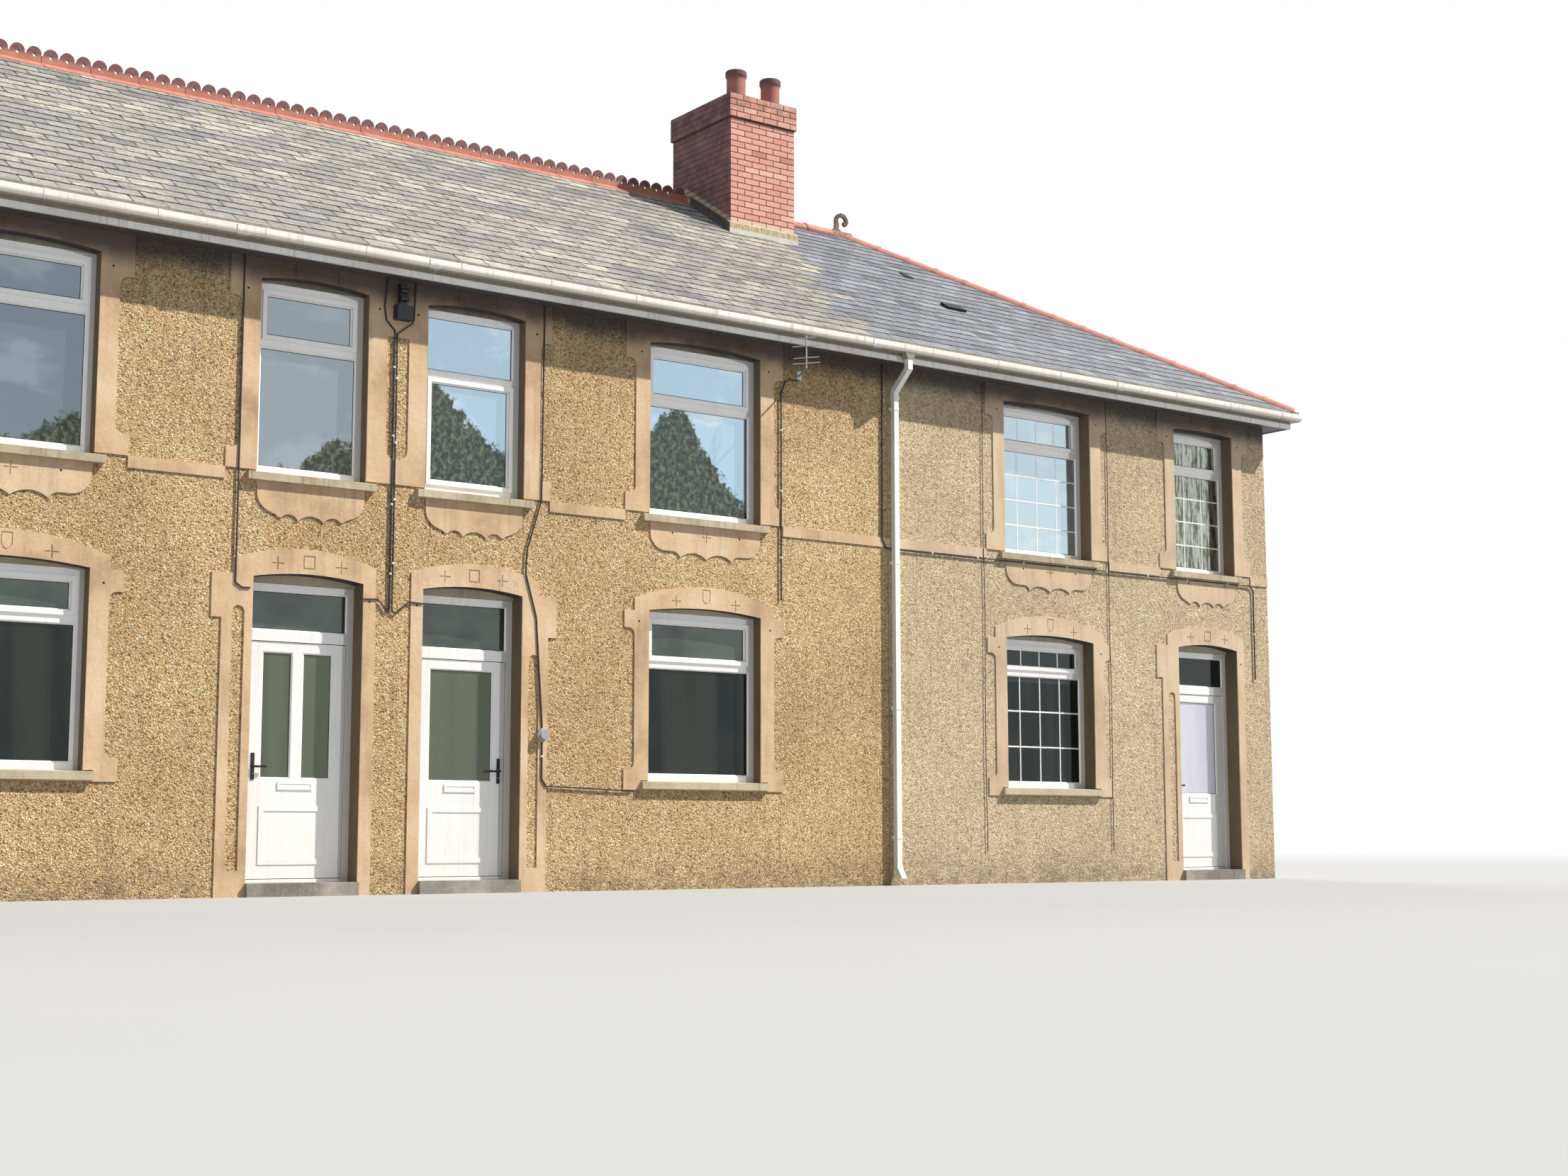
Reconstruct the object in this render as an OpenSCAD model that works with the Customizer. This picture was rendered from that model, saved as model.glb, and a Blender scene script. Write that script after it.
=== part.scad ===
// Terrace of four two-storey houses under one hipped slate roof.
// Millimetres, +Z up. The origin is on the ground, at the middle of the row and under the ridge.
// The front faces -Y. Houses count from the left, and each house is drawn from its house line,
// the line that it shares with its neighbour on the door side.

/* [Row] */
// Width of one house, from party line to party line
house_w = 5970; // [5400:10:6600]
// Depth over the front and rear wall faces
depth = 7680; // [6800:10:9200]
// How far the end wall's face stands outside the last house line
end_margin = 310; // [260:5:420]
// Thickness of the outer walls
wall_t = 340; // [280:5:420]
// Thickness of the party walls
party_t = 230; // [110:5:260]

/* [Storeys] */
// Top of the ground floor above the ground
floor_z = 120; // [60:5:200]
// Top of the first floor
upper_floor_z = 3060; // [3000:10:3200]
// Thickness of the first floor
upper_floor_t = 170; // [120:5:180]
// Underside of the soffit
soffit_z = 5740; // [5700:5:6100]

/* [Openings] */
// Door and narrow window: distance from the house line
door_x = 304; // [270:1:400]
// Door and narrow window: width
door_w = 1066; // [960:1:1250]
// Wide window: distance from the house line
win_x = 2830; // [2500:5:3200]
// Wide window: width
win_w = 1395; // [1000:5:1700]
// Springing of the door heads
door_spring = 2833; // [2750:1:2860]
// Underside of the ground floor sills
sill_low_z = 1000; // [850:5:1200]
// Springing of the ground floor window heads
win_low_spring = 2796; // [2500:1:2830]
// Underside of the upper sills
sill_up_z = 3700; // [3600:5:3900]
// Springing of the upper window heads
win_up_spring = 5552; // [5300:1:5600]
// Rise of the segmental heads
head_rise = 50; // [30:1:80]
// Set-back of window frames
win_reveal = 120; // [80:5:180]
// Set-back of window frames in the re-fitted house at the right
win_reveal_deep = 170; // [80:5:200]
// Set-back of door frames
door_reveal = 190; // [120:5:220]

/* [Sills] */
// Height of a sill at its front
sill_h = 70; // [50:5:80]
// Fall of a sill's top
sill_fall = 15; // [5:1:25]
// How far a sill stands out of the wall
sill_out = 55; // [30:5:90]
// How far a sill runs past each side of its opening
sill_past = 90; // [50:5:110]

/* [Frames] */
// Depth of window and door frames
frame_t = 70; // [55:1:85]
// Face width of the frames
frame_w = 62; // [45:1:75]
// Face width of a sash
sash_w = 48; // [35:1:60]
// How far a sash stands in front of its frame
sash_out = 16; // [8:1:25]
// Thickness of the double glazing
pane_t = 24; // [18:1:32]
// Height of the top lights, from the springing to the transom's middle
top_light_h = 560; // [480:5:600]
// Top of the door leaf of house 3 above the floor
leaf_top = 2080; // [1980:5:2100]
// How much higher the leaves of the other houses are
leaf_more = 75; // [0:5:90]
// Height of a door's transom
transom_h = 96; // [60:2:110]

/* [Doors] */
// Thickness of a door leaf
leaf_t = 60; // [44:1:66]
// Gap at a leaf's hinge side, top and foot
leaf_gap = 6; // [5:0.5:8]
// Gap at a leaf's lock side
lock_gap = 9; // [8:0.5:12]
// Width of a leaf's stiles
stile_w = 124; // [100:1:135]
// Height of a leaf's top rail
top_rail = 88; // [70:1:130]
// Height of a leaf's middle rail above the floor
rail_z = 770; // [700:5:850]
// Height of the middle rail
rail_h = 155; // [120:1:200]
// Height of the lever's spindle above the floor
lever_z = 1030; // [950:5:1100]
// Radius of the hinge knuckles
knuckle_r = 8; // [6:0.5:9]

/* [Roof] */
// Pitch of all four slopes in degrees
pitch = 31.9; // [28:0.1:36]
// How far the slates reach out of the walls
overhang = 300; // [285:5:330]
// Height of the slates' lower edge above the soffit
eaves_rise = 203; // [195:1:260]
// Upright thickness of the roof, with its rafters
roof_t = 160; // [120:5:200]
// Upright thickness of slates and battens
slate_t = 35; // [25:1:45]
// Face of the fascia out of the wall
fascia_out = 250; // [220:5:265]
// Thickness of the fascia
fascia_t = 20; // [15:1:25]

/* [Gutter] */
// Outer radius of the half-round gutter
gutter_r = 56; // [50:1:60]
// Thickness of the gutter
gutter_t = 4; // [3:0.5:5]
// Straight part of the gutter's sides above its round bottom
gutter_deep = 36; // [20:2:44]
// Height of the gutter's rim above the soffit
gutter_rise = 165; // [155:5:175]
// Spacing of the gutter brackets
bracket_step = 980; // [700:10:1200]
// Width of the square downpipe
pipe_w = 65; // [60:1:70]
// Downpipe, from the party line
pipe_x = 60; // [0:5:200]

/* [Chimneys] */
// Width of a stack along the ridge
stack_w = 980; // [880:5:1120]
// Depth of a stack
stack_d = 1270; // [1000:10:1460]
// Inner side of a stack, from the party line
stack_x = -90; // [-200:5:0]
// Front of a stack in front of the ridge
stack_front = 960; // [800:10:1100]
// Top of a stack
stack_top = 9700; // [9500:25:10200]
// Height of one brick course
course = 75; // [65:1:85]
// Courses in the cap
cap_courses = 4; // [3:1:5]
// How far the cap stands out
cap_out = 24; // [15:1:40]
// Outer radius of a pot
pot_r = 120; // [90:1:130]
// Height of a pot
pot_h = 370; // [300:10:600]

/* [Ridge] */
// Spacing of the crest's roundels
roundel_step = 172; // [155:1:190]
// Outer radius of a roundel
roundel_r = 73; // [60:1:76]
// Radius of the hole in a roundel
roundel_hole = 19; // [12:1:30]
// Thickness of the crest
crest_t = 32; // [20:1:45]
// Outer radius of the plain ridge and hip tiles
tile_r = 125; // [100:1:150]
// Length of a ridge or hip tile
tile_len = 450; // [300:10:500]

/* [Render bands] */
// How far the smooth bands stand out of the roughcast
band_t = 12; // [8:1:20]
// Width of the bands beside the openings
band_w = 172; // [140:1:200]
// How far the ears reach past the bands
ear_w = 122; // [90:1:140]
// Radius of the hollow where an ear meets its band
ear_r = 75; // [40:5:100]
// Height of the string course
string_h = 105; // [60:1:125]
// Depth of the aprons under the upper sills, to their points
apron_h = 342; // [280:2:400]
// Depth of the crosses and squares cut into the bands
mark_t = 6; // [3:0.5:7]

/* [Hidden] */

half_d = depth / 2;
half_l = 2 * house_w + end_margin;
slope = tan(pitch);
edge_z = soffit_z + eaves_rise;
ridge_z = edge_z + (half_d + overhang) * slope;
apex_x = half_l - half_d;
wall_top = roof_z(half_d) - roof_t;
rafter_out = fascia_out - fascia_t;
gutter_z = soffit_z + gutter_rise;
gutter_out = fascia_out + gutter_r;
sill_top = sill_h + sill_fall;
frame_sill = 30;
leaf_w = door_w - 2 * frame_w - leaf_gap - lock_gap;
leaf_u = door_x + frame_w + leaf_gap;
leaf_z = floor_z + frame_sill + leaf_gap;
leaf_back = -half_d + door_reveal + frame_t;
axis_back = 10;
lever_u = leaf_u + leaf_w - 55;
spindle_r = 5;
spindle_play = 0.1;
seat = 0.05;
infill_drop = 30;
infill_out = 25;
eps = 1;
arc = 64;

// Top of the slates at a distance from the ridge
function roof_z(d) = ridge_z - d * slope;
// Radius of a segmental arc over a width
function arc_r(w, rise) = (w * w / 4 + rise * rise) / (2 * rise);
// Rise of the upper heads: flatter in the re-fitted house
function up_rise(h) = h == 4 ? head_rise / 2 : head_rise;
function reveal(h) = h == 4 ? win_reveal_deep : win_reveal;
// Top light of a window: kind 0 is the wide upper one, 1 the narrow upper one, 2 the ground floor one
lights = [[-58, 7, -119], [-58, 7, -119], [22, 62, -24], [-68, -68, -174]];
function light(h, kind) = top_light_h + lights[h - 1][kind];
// Only the narrow upper window of house 3 opens below its transom
function opens_below(h, kind) = h == 3 && kind == 1;

// Places what is drawn from a house line in house h
module at_house(h) {
    if (h == 1) translate([-2 * house_w, 0, 0]) children();
    if (h == 2) mirror([1, 0, 0]) children();
    if (h == 3) children();
    if (h == 4) translate([2 * house_w, 0, 0]) mirror([1, 0, 0]) children();
}

// Makes an x-z outline a slab: its face stands out of the front wall face, and it is t thick
module front_slab(out, t)
    translate([0, t - half_d - out, 0]) rotate([90, 0, 0]) linear_extrude(height = t) children();

module at_rear() mirror([0, 1, 0]) children();

module box(x, y, z) translate([x[0], y[0], z[0]]) cube([x[1] - x[0], y[1] - y[0], z[1] - z[0]]);

// Opening with a segmental head, drawn from its lower left corner
module arched_2d(w, h, rise) {
    square([w, h]);
    intersection() {
        translate([w / 2, h + rise - arc_r(w, rise)]) circle(r = arc_r(w, rise), $fn = 8 * arc);
        translate([0, h - eps]) square([w, rise + 2 * eps]);
    }
}

module door_hole_2d() translate([door_x, 0]) arched_2d(door_w, door_spring, head_rise);
module low_hole_2d() translate([win_x, sill_low_z]) arched_2d(win_w, win_low_spring - sill_low_z, head_rise);
module up_hole_2d(h, x, w) translate([x, sill_up_z]) arched_2d(w, win_up_spring - sill_up_z, up_rise(h));

module wide_holes_2d(h) at_house(h) {
    low_hole_2d();
    up_hole_2d(h, win_x, win_w);
}

module narrow_holes_2d(h) at_house(h) {
    door_hole_2d();
    up_hole_2d(h, door_x, door_w);
}

// Walls

wall_color = "#c9a878";

module wall_between_doors_2d(side) {
    x = door_x + door_w;
    difference() {
        mirror([side < 0 ? 1 : 0, 0]) translate([x, 0]) square([2 * house_w - 2 * x, wall_top]);
        for (h = side < 0 ? [1, 2] : [3, 4]) wide_holes_2d(h);
    }
}

module front_wall_left() color(wall_color) front_slab(0, wall_t) wall_between_doors_2d(-1);
module front_wall_right() color(wall_color) front_slab(0, wall_t) wall_between_doors_2d(1);

module front_piers() color(wall_color) front_slab(0, wall_t) {
    translate([-door_x, 0]) square([2 * door_x, wall_top]);
    for (s = [0, 1]) mirror([s, 0])
        translate([2 * house_w - door_x, 0]) square([end_margin + door_x, wall_top]);
}

module front_over_doors() color(wall_color) front_slab(0, wall_t)
    for (h = [1:4]) difference() {
        at_house(h) translate([door_x, door_spring]) square([door_w, wall_top - door_spring]);
        narrow_holes_2d(h);
    }

module rear_wall() color(wall_color) at_rear() front_slab(0, wall_t) difference() {
    translate([-half_l, 0]) square([2 * half_l, wall_top]);
    for (h = [1:4]) {
        wide_holes_2d(h);
        narrow_holes_2d(h);
    }
}

module end_walls() color(wall_color) for (s = [0, 1]) mirror([s, 0, 0])
    box([half_l - wall_t, half_l], [-half_d + wall_t, half_d - wall_t], [0, wall_top]);

// Outline of a party wall under the two slopes, in y-z
module gable_2d() {
    y = half_d - wall_t;
    z = roof_t + seat;
    polygon([[-y, 0], [y, 0], [y, roof_z(y) - z], [0, ridge_z - z], [-y, roof_z(y) - z]]);
}

module party_walls() color("#b9b2a6") for (x = [-house_w, 0, house_w])
    translate([x - party_t / 2, 0, 0]) rotate([90, 0, 90]) linear_extrude(height = party_t) gable_2d();

// One floor slab a house, between the party walls
module floors(z, t) {
    inner = house_w - party_t;
    last = end_margin - wall_t + party_t / 2;
    y = half_d - wall_t;
    for (s = [0, 1]) mirror([s, 0, 0]) {
        box([party_t / 2, party_t / 2 + inner], [-y, y], [z - t, z]);
        box([house_w + party_t / 2, house_w + party_t / 2 + inner + last], [-y, y], [z - t, z]);
    }
}

module ground_floor() color("#8f8f8c") floors(floor_z, floor_z);
module first_floor() color("#a88a62") floors(upper_floor_z, upper_floor_t);

module door_steps() color("#a39f96") {
    front_steps();
    at_rear() front_steps();
}

module front_steps() for (h = [1:4]) at_house(h)
    box([door_x, door_x + door_w], [-half_d - sill_out, -half_d + wall_t], [0, floor_z]);

// Roof

// Section of a slope in y-z, with the seat on the wall head
module slope_2d() {
    eave = half_d + overhang;
    raft = half_d + rafter_out;
    inner = half_d - wall_t;
    polygon([[0, ridge_z], [-eave, edge_z], [-eave, edge_z - slate_t], [-raft, roof_z(raft) - slate_t],
             [-raft, roof_z(raft) - roof_t], [-half_d, wall_top], [-inner, wall_top],
             [-inner, roof_z(inner) - roof_t], [0, ridge_z - roof_t]]);
}

// Upright prisms that part the four sides of the roof at the hips
module front_wedge() translate([0, 0, soffit_z - 200]) linear_extrude(height = ridge_z)
    polygon([[-half_l - 500, -half_d - 500], [half_l + 500, -half_d - 500], [apex_x, 0], [-apex_x, 0]]);

module end_wedge() translate([0, 0, soffit_z - 200]) linear_extrude(height = ridge_z)
    polygon([[half_l + 500, -half_d - 500], [half_l + 500, half_d + 500], [apex_x, 0]]);

// Runs a y-z section along the front, or round the right-hand end
module along_front() translate([-half_l - 500, 0, 0]) rotate([90, 0, 90])
    linear_extrude(height = 2 * half_l + 1000) children();

module along_end() translate([apex_x, half_d + 500, 0]) mirror([1, 0, 0]) rotate([90, 0, 0])
    linear_extrude(height = depth + 1000) children();

module stack_hole() for (s = [0, 1]) mirror([s, 0, 0])
    box(stack_span(), [-stack_front, stack_d - stack_front], [soffit_z, stack_top]);

function stack_span() = [house_w + stack_x, house_w + stack_x + stack_w];

slate_color = "#8a8781";

module roof_front() color(slate_color) difference() {
    intersection() {
        along_front() slope_2d();
        front_wedge();
    }
    stack_hole();
}

module roof_rear() color(slate_color) at_rear() difference() {
    intersection() {
        along_front() slope_2d();
        front_wedge();
    }
    at_rear() stack_hole();
}

module roof_hips() color("#6f747a") for (s = [0, 1]) mirror([s, 0, 0]) intersection() {
    along_end() slope_2d();
    end_wedge();
}

// The whole roof as one solid, which trims the tiles that sit on it
module roof_body() intersection() {
    along_front() polygon([[0, ridge_z], [half_d + 600, roof_z(half_d + 600)], [0, soffit_z - 500],
                           [-half_d - 600, roof_z(half_d + 600)]]);
    union() {
        along_end() polygon([[-half_d - 600, roof_z(half_d + 600)], [0, ridge_z], [apex_x, ridge_z],
                             [apex_x, soffit_z - 500], [-half_d, soffit_z - 500]]);
        mirror([1, 0, 0])
            along_end() polygon([[-half_d - 600, roof_z(half_d + 600)], [0, ridge_z], [apex_x, ridge_z],
                                 [apex_x, soffit_z - 500], [-half_d, soffit_z - 500]]);
    }
}

clay = "#b0603f";
saddle_t = 24;
saddle_reach = 125;
crest_band = ridge_z + 92;
crest_mid = ridge_z + 107;
hole_mid = crest_mid - 20;
tile_roundels = 3;

// Saddle of the crest tiles in y-z: it lies on both slopes
module saddle_2d(more) {
    y = saddle_reach + more;
    z = ridge_z + seat;
    t = saddle_t + more;
    polygon([[0, z], [-y, z - y * slope], [-y, z - y * slope + t], [0, z + t], [y, z - y * slope + t], [y, z - y * slope]]);
}

// Pierced crest between the stacks: three roundels a tile, with a roll over each joint
module crest_tiles() color(clay) {
    span = house_w + stack_x;
    count = floor(2 * span / roundel_step);
    first = -(count - 1) / 2 * roundel_step;
    translate([-span, 0, 0]) rotate([90, 0, 90]) linear_extrude(height = 2 * span) saddle_2d(0);
    translate([0, crest_t / 2, 0]) rotate([90, 0, 0]) linear_extrude(height = crest_t) difference() {
        union() {
            translate([-span, ridge_z + saddle_t / 2]) square([2 * span, crest_band - ridge_z - saddle_t / 2]);
            for (i = [0:count - 1]) translate([first + i * roundel_step, crest_mid]) circle(r = roundel_r, $fn = 40);
        }
        for (i = [0:count - 1]) translate([first + i * roundel_step, hole_mid]) circle(r = roundel_hole, $fn = 24);
    }
    for (i = [tile_roundels:tile_roundels:count - 1])
        translate([first + (i - 0.5) * roundel_step - 9, 0, 0]) rotate([90, 0, 90]) linear_extrude(height = 18) {
            saddle_2d(5);
            translate([-crest_t / 2 - 4, ridge_z + saddle_t / 2]) square([crest_t + 8, crest_band - ridge_z - saddle_t / 2 - 6]);
        }
}

// One half-round tile along +X, with the next one's lap on its tail
module round_tile(len) rotate([0, 90, 0]) difference() {
    cylinder(r = tile_r, h = len, $fn = arc);
    translate([0, 0, -eps]) cylinder(r = tile_r - 18, h = len + 2 * eps, $fn = arc);
}

module tile_run(length, lift) {
    count = ceil(length / tile_len);
    step = length / count;
    for (i = [0:count - 1]) translate([i * step, 0, lift]) {
        round_tile(step);
        translate([0, 0, 0]) rotate([0, 90, 0]) difference() {
            cylinder(r = tile_r + 9, h = 50, $fn = arc);
            translate([0, 0, -eps]) cylinder(r = tile_r - 18, h = 50 + 2 * eps, $fn = arc);
        }
    }
}

hip_run = half_d + overhang;
hip_len = sqrt(2 * hip_run * hip_run + pow(hip_run * slope, 2));
hip_fall = atan2(hip_run * slope, hip_run * sqrt(2));

// The roof, lifted by the seat that keeps the tiles clear of the slates
module roof_seat() translate([0, 0, seat]) roof_body();

finial_from = apex_x - 250;
finial_to = apex_x + 75;

// Plain tiles on the outer ridge and down the four hips, trimmed to the slates
module plain_ridge_tiles() color("#bb5f49") difference() {
    for (s = [0, 1]) mirror([s, 0, 0]) {
        translate([stack_span()[1], 0, ridge_z - 60]) tile_run(finial_from - stack_span()[1], 0);
        difference() {
            for (t = [0, 1]) mirror([0, t, 0]) translate([apex_x, 0, ridge_z]) rotate([0, 0, -45])
                rotate([0, hip_fall, 0]) translate([60, 0, -75]) tile_run(hip_len - 90, 0);
            translate([finial_from - 100, 0, ridge_z - 60]) rotate([0, 90, 0])
                cylinder(r = tile_r + seat, h = finial_to - finial_from + 100 + seat, $fn = arc);
            box([0, apex_x - 60], [-400, 400], [ridge_z - 600, ridge_z + 400]);
        }
    }
    roof_seat();
    for (s = [0, 1]) mirror([s, 0, 0])
        translate([0, 0, ridge_z - 2000]) box([0, apex_x + 1500], [-400, 400], [0, 1500]);
}

// Scroll at each end of the ridge, on a short ridge tile of its own
scroll_r = 112;
scroll_in = 60;
scroll_z = ridge_z + 205;
module scroll_2d() difference() {
    union() {
        difference() {
            circle(r = scroll_r, $fn = 48);
            circle(r = scroll_in, $fn = 48);
            translate([-scroll_in + 12, -scroll_r - 40]) square([scroll_r + scroll_in, scroll_r + 22]);
        }
        translate([-scroll_r, -165]) square([scroll_r - scroll_in, 165]);
        translate([-scroll_r - 24, -165]) square([scroll_r - scroll_in + 64, 50]);
        translate([62, -24]) circle(r = 37, $fn = 32);
    }
    translate([-scroll_r - 60, -300]) square([2 * scroll_r + 100, 300 + ridge_z + 55 - scroll_z]);
}

module finials() color("#6e4f44") for (s = [0, 1]) mirror([s, 0, 0]) {
    difference() {
        translate([finial_from + seat, 0, ridge_z - 60]) round_tile(finial_to - finial_from - seat);
        roof_seat();
    }
    translate([apex_x - 30, 16, scroll_z]) rotate([90, 0, 0]) linear_extrude(height = 32) scroll_2d();
}

// Chimneys

module stack_shell() {
    w = stack_w;
    d = stack_d;
    z0 = roof_z(stack_front) - 2 * roof_t - 400;
    difference() {
        union() {
            box([0, w], [0, d], [z0, stack_top]);
            box([-cap_out, w + cap_out], [-cap_out, d + cap_out], [stack_top - cap_courses * course, stack_top]);
        }
        for (x = pot_xs()) translate([x, pot_y, z0 - eps]) cylinder(r = pot_r - 22, h = stack_top - z0 + 2 * eps, $fn = 32);
    }
}

function pot_xs() = [stack_w / 2 - 265, stack_w / 2 + 265];
pot_y = 200;

module at_stack() for (s = [0, 1]) mirror([s, 0, 0]) translate([stack_span()[0], -stack_front, 0]) children();

module chimney_stacks() color("#d0785a") difference() {
    at_stack() stack_shell();
    party_room();
}

// Room for the head of the party wall inside the stack's foot
module party_room() for (x = [-house_w, house_w])
    translate([x - party_t / 2 - seat, 0, 2 * seat]) rotate([90, 0, 90]) linear_extrude(height = party_t + 2 * seat) gable_2d();

module pot_2d() polygon([[pot_r - 22, 0], [pot_r, 0], [pot_r, pot_h - 96], [pot_r + 5, pot_h - 88], [pot_r + 16, pot_h - 62],
                         [pot_r + 16, pot_h - 14], [pot_r + 6, pot_h], [pot_r - 22, pot_h]]);

module chimney_pots() color("#a85f45") at_stack() for (x = pot_xs())
    translate([x, pot_y, stack_top]) rotate_extrude($fn = 48) pot_2d();

// Cement: fillets round the feet of the stacks, lying on the slates, and the bed round the pots
fillet_h = 140;
fillet_t = 40;
bed_t = 25;
module chimney_fillets() color("#d9d4c8") {
    difference() {
        at_stack() difference() {
            translate([-fillet_t, -fillet_t, roof_z(stack_front + fillet_t) - 50])
                cube([stack_w + 2 * fillet_t, stack_d + 2 * fillet_t, 1100]);
            translate([0, 0, roof_z(stack_front) - 400]) cube([stack_w, stack_d, 2000]);
        }
        // cut above the fillet and below the slates
        for (s = [0, 1]) mirror([s, 0, 0]) {
            translate([0, 0, fillet_h]) along_stack() polygon([[-2000, roof_z(2000)], [0, ridge_z], [2000, roof_z(2000)],
                                                                [2000, ridge_z + 2500], [-2000, ridge_z + 2500]]);
            translate([0, 0, seat]) along_stack() polygon([[-2000, roof_z(2000)], [0, ridge_z], [2000, roof_z(2000)],
                                                           [2000, roof_z(2000) - 1500], [-2000, roof_z(2000) - 1500]]);
            translate([stack_span()[0] - 200, 0, 0]) rotate([90, 0, 90]) linear_extrude(height = 200 + eps) saddle_room_2d();
            translate([stack_span()[1] - eps, 0, 0]) rotate([90, 0, 90]) linear_extrude(height = 200) circle_room_2d();
        }
    }
    at_stack() difference() {
        box([60, stack_w - 60], [50, stack_d - 60], [stack_top, stack_top + bed_t]);
        for (x = pot_xs()) translate([x, pot_y, stack_top - eps]) cylinder(r = pot_r + seat, h = bed_t + 2 * eps, $fn = 48);
    }
}

// Runs a y-z section past one stack
module along_stack() translate([house_w - 600, 0, 0]) rotate([90, 0, 90]) linear_extrude(height = 2200) children();

module saddle_room_2d() polygon([[-saddle_reach - 13, ridge_z - 400], [-saddle_reach - 13, ridge_z + 300],
                                 [saddle_reach + 13, ridge_z + 300], [saddle_reach + 13, ridge_z - 400]]);
module circle_room_2d() translate([0, ridge_z - 60]) circle(r = tile_r + 12, $fn = arc);

// Eaves

module eaves_ring() {
    z = soffit_z;
    fascia_top = roof_z(half_d + fascia_out) - slate_t;
    difference() {
        box([-half_l - fascia_out, half_l + fascia_out], [-half_d - fascia_out, half_d + fascia_out], [z - 12, fascia_top]);
        box([-half_l - rafter_out, half_l + rafter_out], [-half_d - rafter_out, half_d + rafter_out], [z - 20, fascia_top + 5]);
    }
    difference() {
        box([-half_l - rafter_out, half_l + rafter_out], [-half_d - rafter_out, half_d + rafter_out], [z, z + 12]);
        box([-half_l, half_l], [-half_d, half_d], [z - 5, z + 20]);
    }
}

eaves_color = "#e4e2db";
module eaves_front() color(eaves_color) intersection() { eaves_ring(); front_wedge(); }
module eaves_rear() color(eaves_color) intersection() { eaves_ring(); at_rear() front_wedge(); }
module eaves_ends() color(eaves_color) for (s = [0, 1]) intersection() {
    eaves_ring();
    mirror([s, 0, 0]) end_wedge();
}

// Outline of the deep trough in y-z: straight sides over a half-round bottom
module trough_2d(r, top) difference() {
    union() {
        translate([0, -gutter_deep]) circle(r = r, $fn = 48);
        translate([-r, -gutter_deep]) square([2 * r, gutter_deep + top]);
    }
    translate([-r - 5, top]) square([2 * r + 10, r]);
}

// The trough, with a bead on each rim
module gutter_2d() translate([-half_d - gutter_out, gutter_z]) {
    difference() {
        trough_2d(gutter_r, 0);
        trough_2d(gutter_r - gutter_t, 5);
    }
    translate([-gutter_r + gutter_t, 0]) circle(r = gutter_t, $fn = 20);
    translate([gutter_r - gutter_t, 0]) circle(r = gutter_t, $fn = 20);
}

// A bracket's strap round the trough and up the fascia
module strap_2d() translate([-half_d - gutter_out, gutter_z]) {
    difference() {
        trough_2d(gutter_r + 4, 6);
        trough_2d(gutter_r - eps, 10);
        translate([gutter_r, -gutter_r - gutter_deep - 9]) square([20, 2 * gutter_r + gutter_deep + 18]);
    }
}

module straps_front() {
    count = floor(2 * half_l / bracket_step);
    for (i = [0:count]) translate([(i - count / 2) * bracket_step - 22, 0, 0]) rotate([90, 0, 90])
        linear_extrude(height = 44) strap_2d();
}

module gutter_front() color("#e9e6dd") intersection() {
    union() {
        along_front() gutter_2d();
        straps_front();
        outlet();
    }
    front_wedge();
}

module gutter_rear() color("#e9e6dd") at_rear() intersection() {
    union() {
        along_front() gutter_2d();
        straps_front();
        outlet();
    }
    front_wedge();
}

module gutter_ends() color("#e9e6dd") for (s = [0, 1]) mirror([s, 0, 0]) intersection() {
    along_end() gutter_2d();
    end_wedge();
}

joint_bulge = 2;
// Pipe between two points, with a round joint at its far end
module pipe(a, b, r) {
    d = b - a;
    len = norm(d);
    translate(a) rotate([0, acos(d[2] / len), atan2(d[1], d[0])]) cylinder(r = r, h = len, $fn = 32);
    translate(b) sphere(r = r + joint_bulge, $fn = 32);
}

pipe_out = pipe_w / 2 + 26;
outlet_h = 60;
pipe_top = gutter_z - gutter_deep - gutter_r - outlet_h;

// Sleeve and funnel of the outlet over the downpipe
module outlet() {
    x = house_w + pipe_x;
    y = -half_d - gutter_out;
    translate([x - 92, 0, 0]) rotate([90, 0, 90]) linear_extrude(height = 184) strap_2d();
    difference() {
        translate([0, y + 38, 0]) rotate([90, 0, 0]) linear_extrude(height = 76)
            polygon([[x - 86, pipe_top + outlet_h + 34], [x - 40, pipe_top], [x + 40, pipe_top], [x + 86, pipe_top + outlet_h + 34]]);
        along_front() translate([y, gutter_z]) trough_2d(gutter_r - gutter_t + eps, 5);
    }
}

// Square pipe in y-z: swan neck to the wall, down, and a shoe; each bend is mitred
module downpipe_2d() {
    r = pipe_w / 2;
    y0 = -half_d - gutter_out;
    y1 = -half_d - pipe_out;
    z1 = pipe_top - 100;
    z2 = z1 - 225;
    z3 = 190;
    m = r * tan(atan((y1 - y0) / (z1 - z2)) / 2);
    shoe = 60 / 95;
    n = r * tan(atan(shoe) / 2);
    polygon([[y0 - r, pipe_top], [y0 - r, z1 - m], [y1 - r, z2 - m], [y1 - r, z3 + n], [y1 - r - shoe * (z3 + n - 80), 80],
             [y1 + r - shoe * (z3 - n - 80), 80], [y1 + r, z3 - n], [y1 + r, z2 + m], [y0 + r, z1 + m], [y0 + r, pipe_top]]);
}

module downpipe() {
    x = house_w + pipe_x;
    r = pipe_w / 2;
    y1 = -half_d - pipe_out;
    translate([x - r, 0, 0]) rotate([90, 0, 90]) linear_extrude(height = pipe_w) downpipe_2d();
    box([x - r - 4, x + r + 4], [y1 - r - 4, y1 + r + 4], [pipe_top - 420, pipe_top - 370]);
    for (z = [500, 1900, 3500, 5220]) {
        box([x - r - 4, x + r + 4], [y1 - r - 4, y1 + r - 8], [z, z + 32]);
        box([x - 52, x + 52], [y1 + r - 9, -half_d - band_t], [z, z + 32]);
        box([x - 20, x + 20], [-half_d - band_t - eps, -half_d], [z, z + 32]);
    }
}

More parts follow.
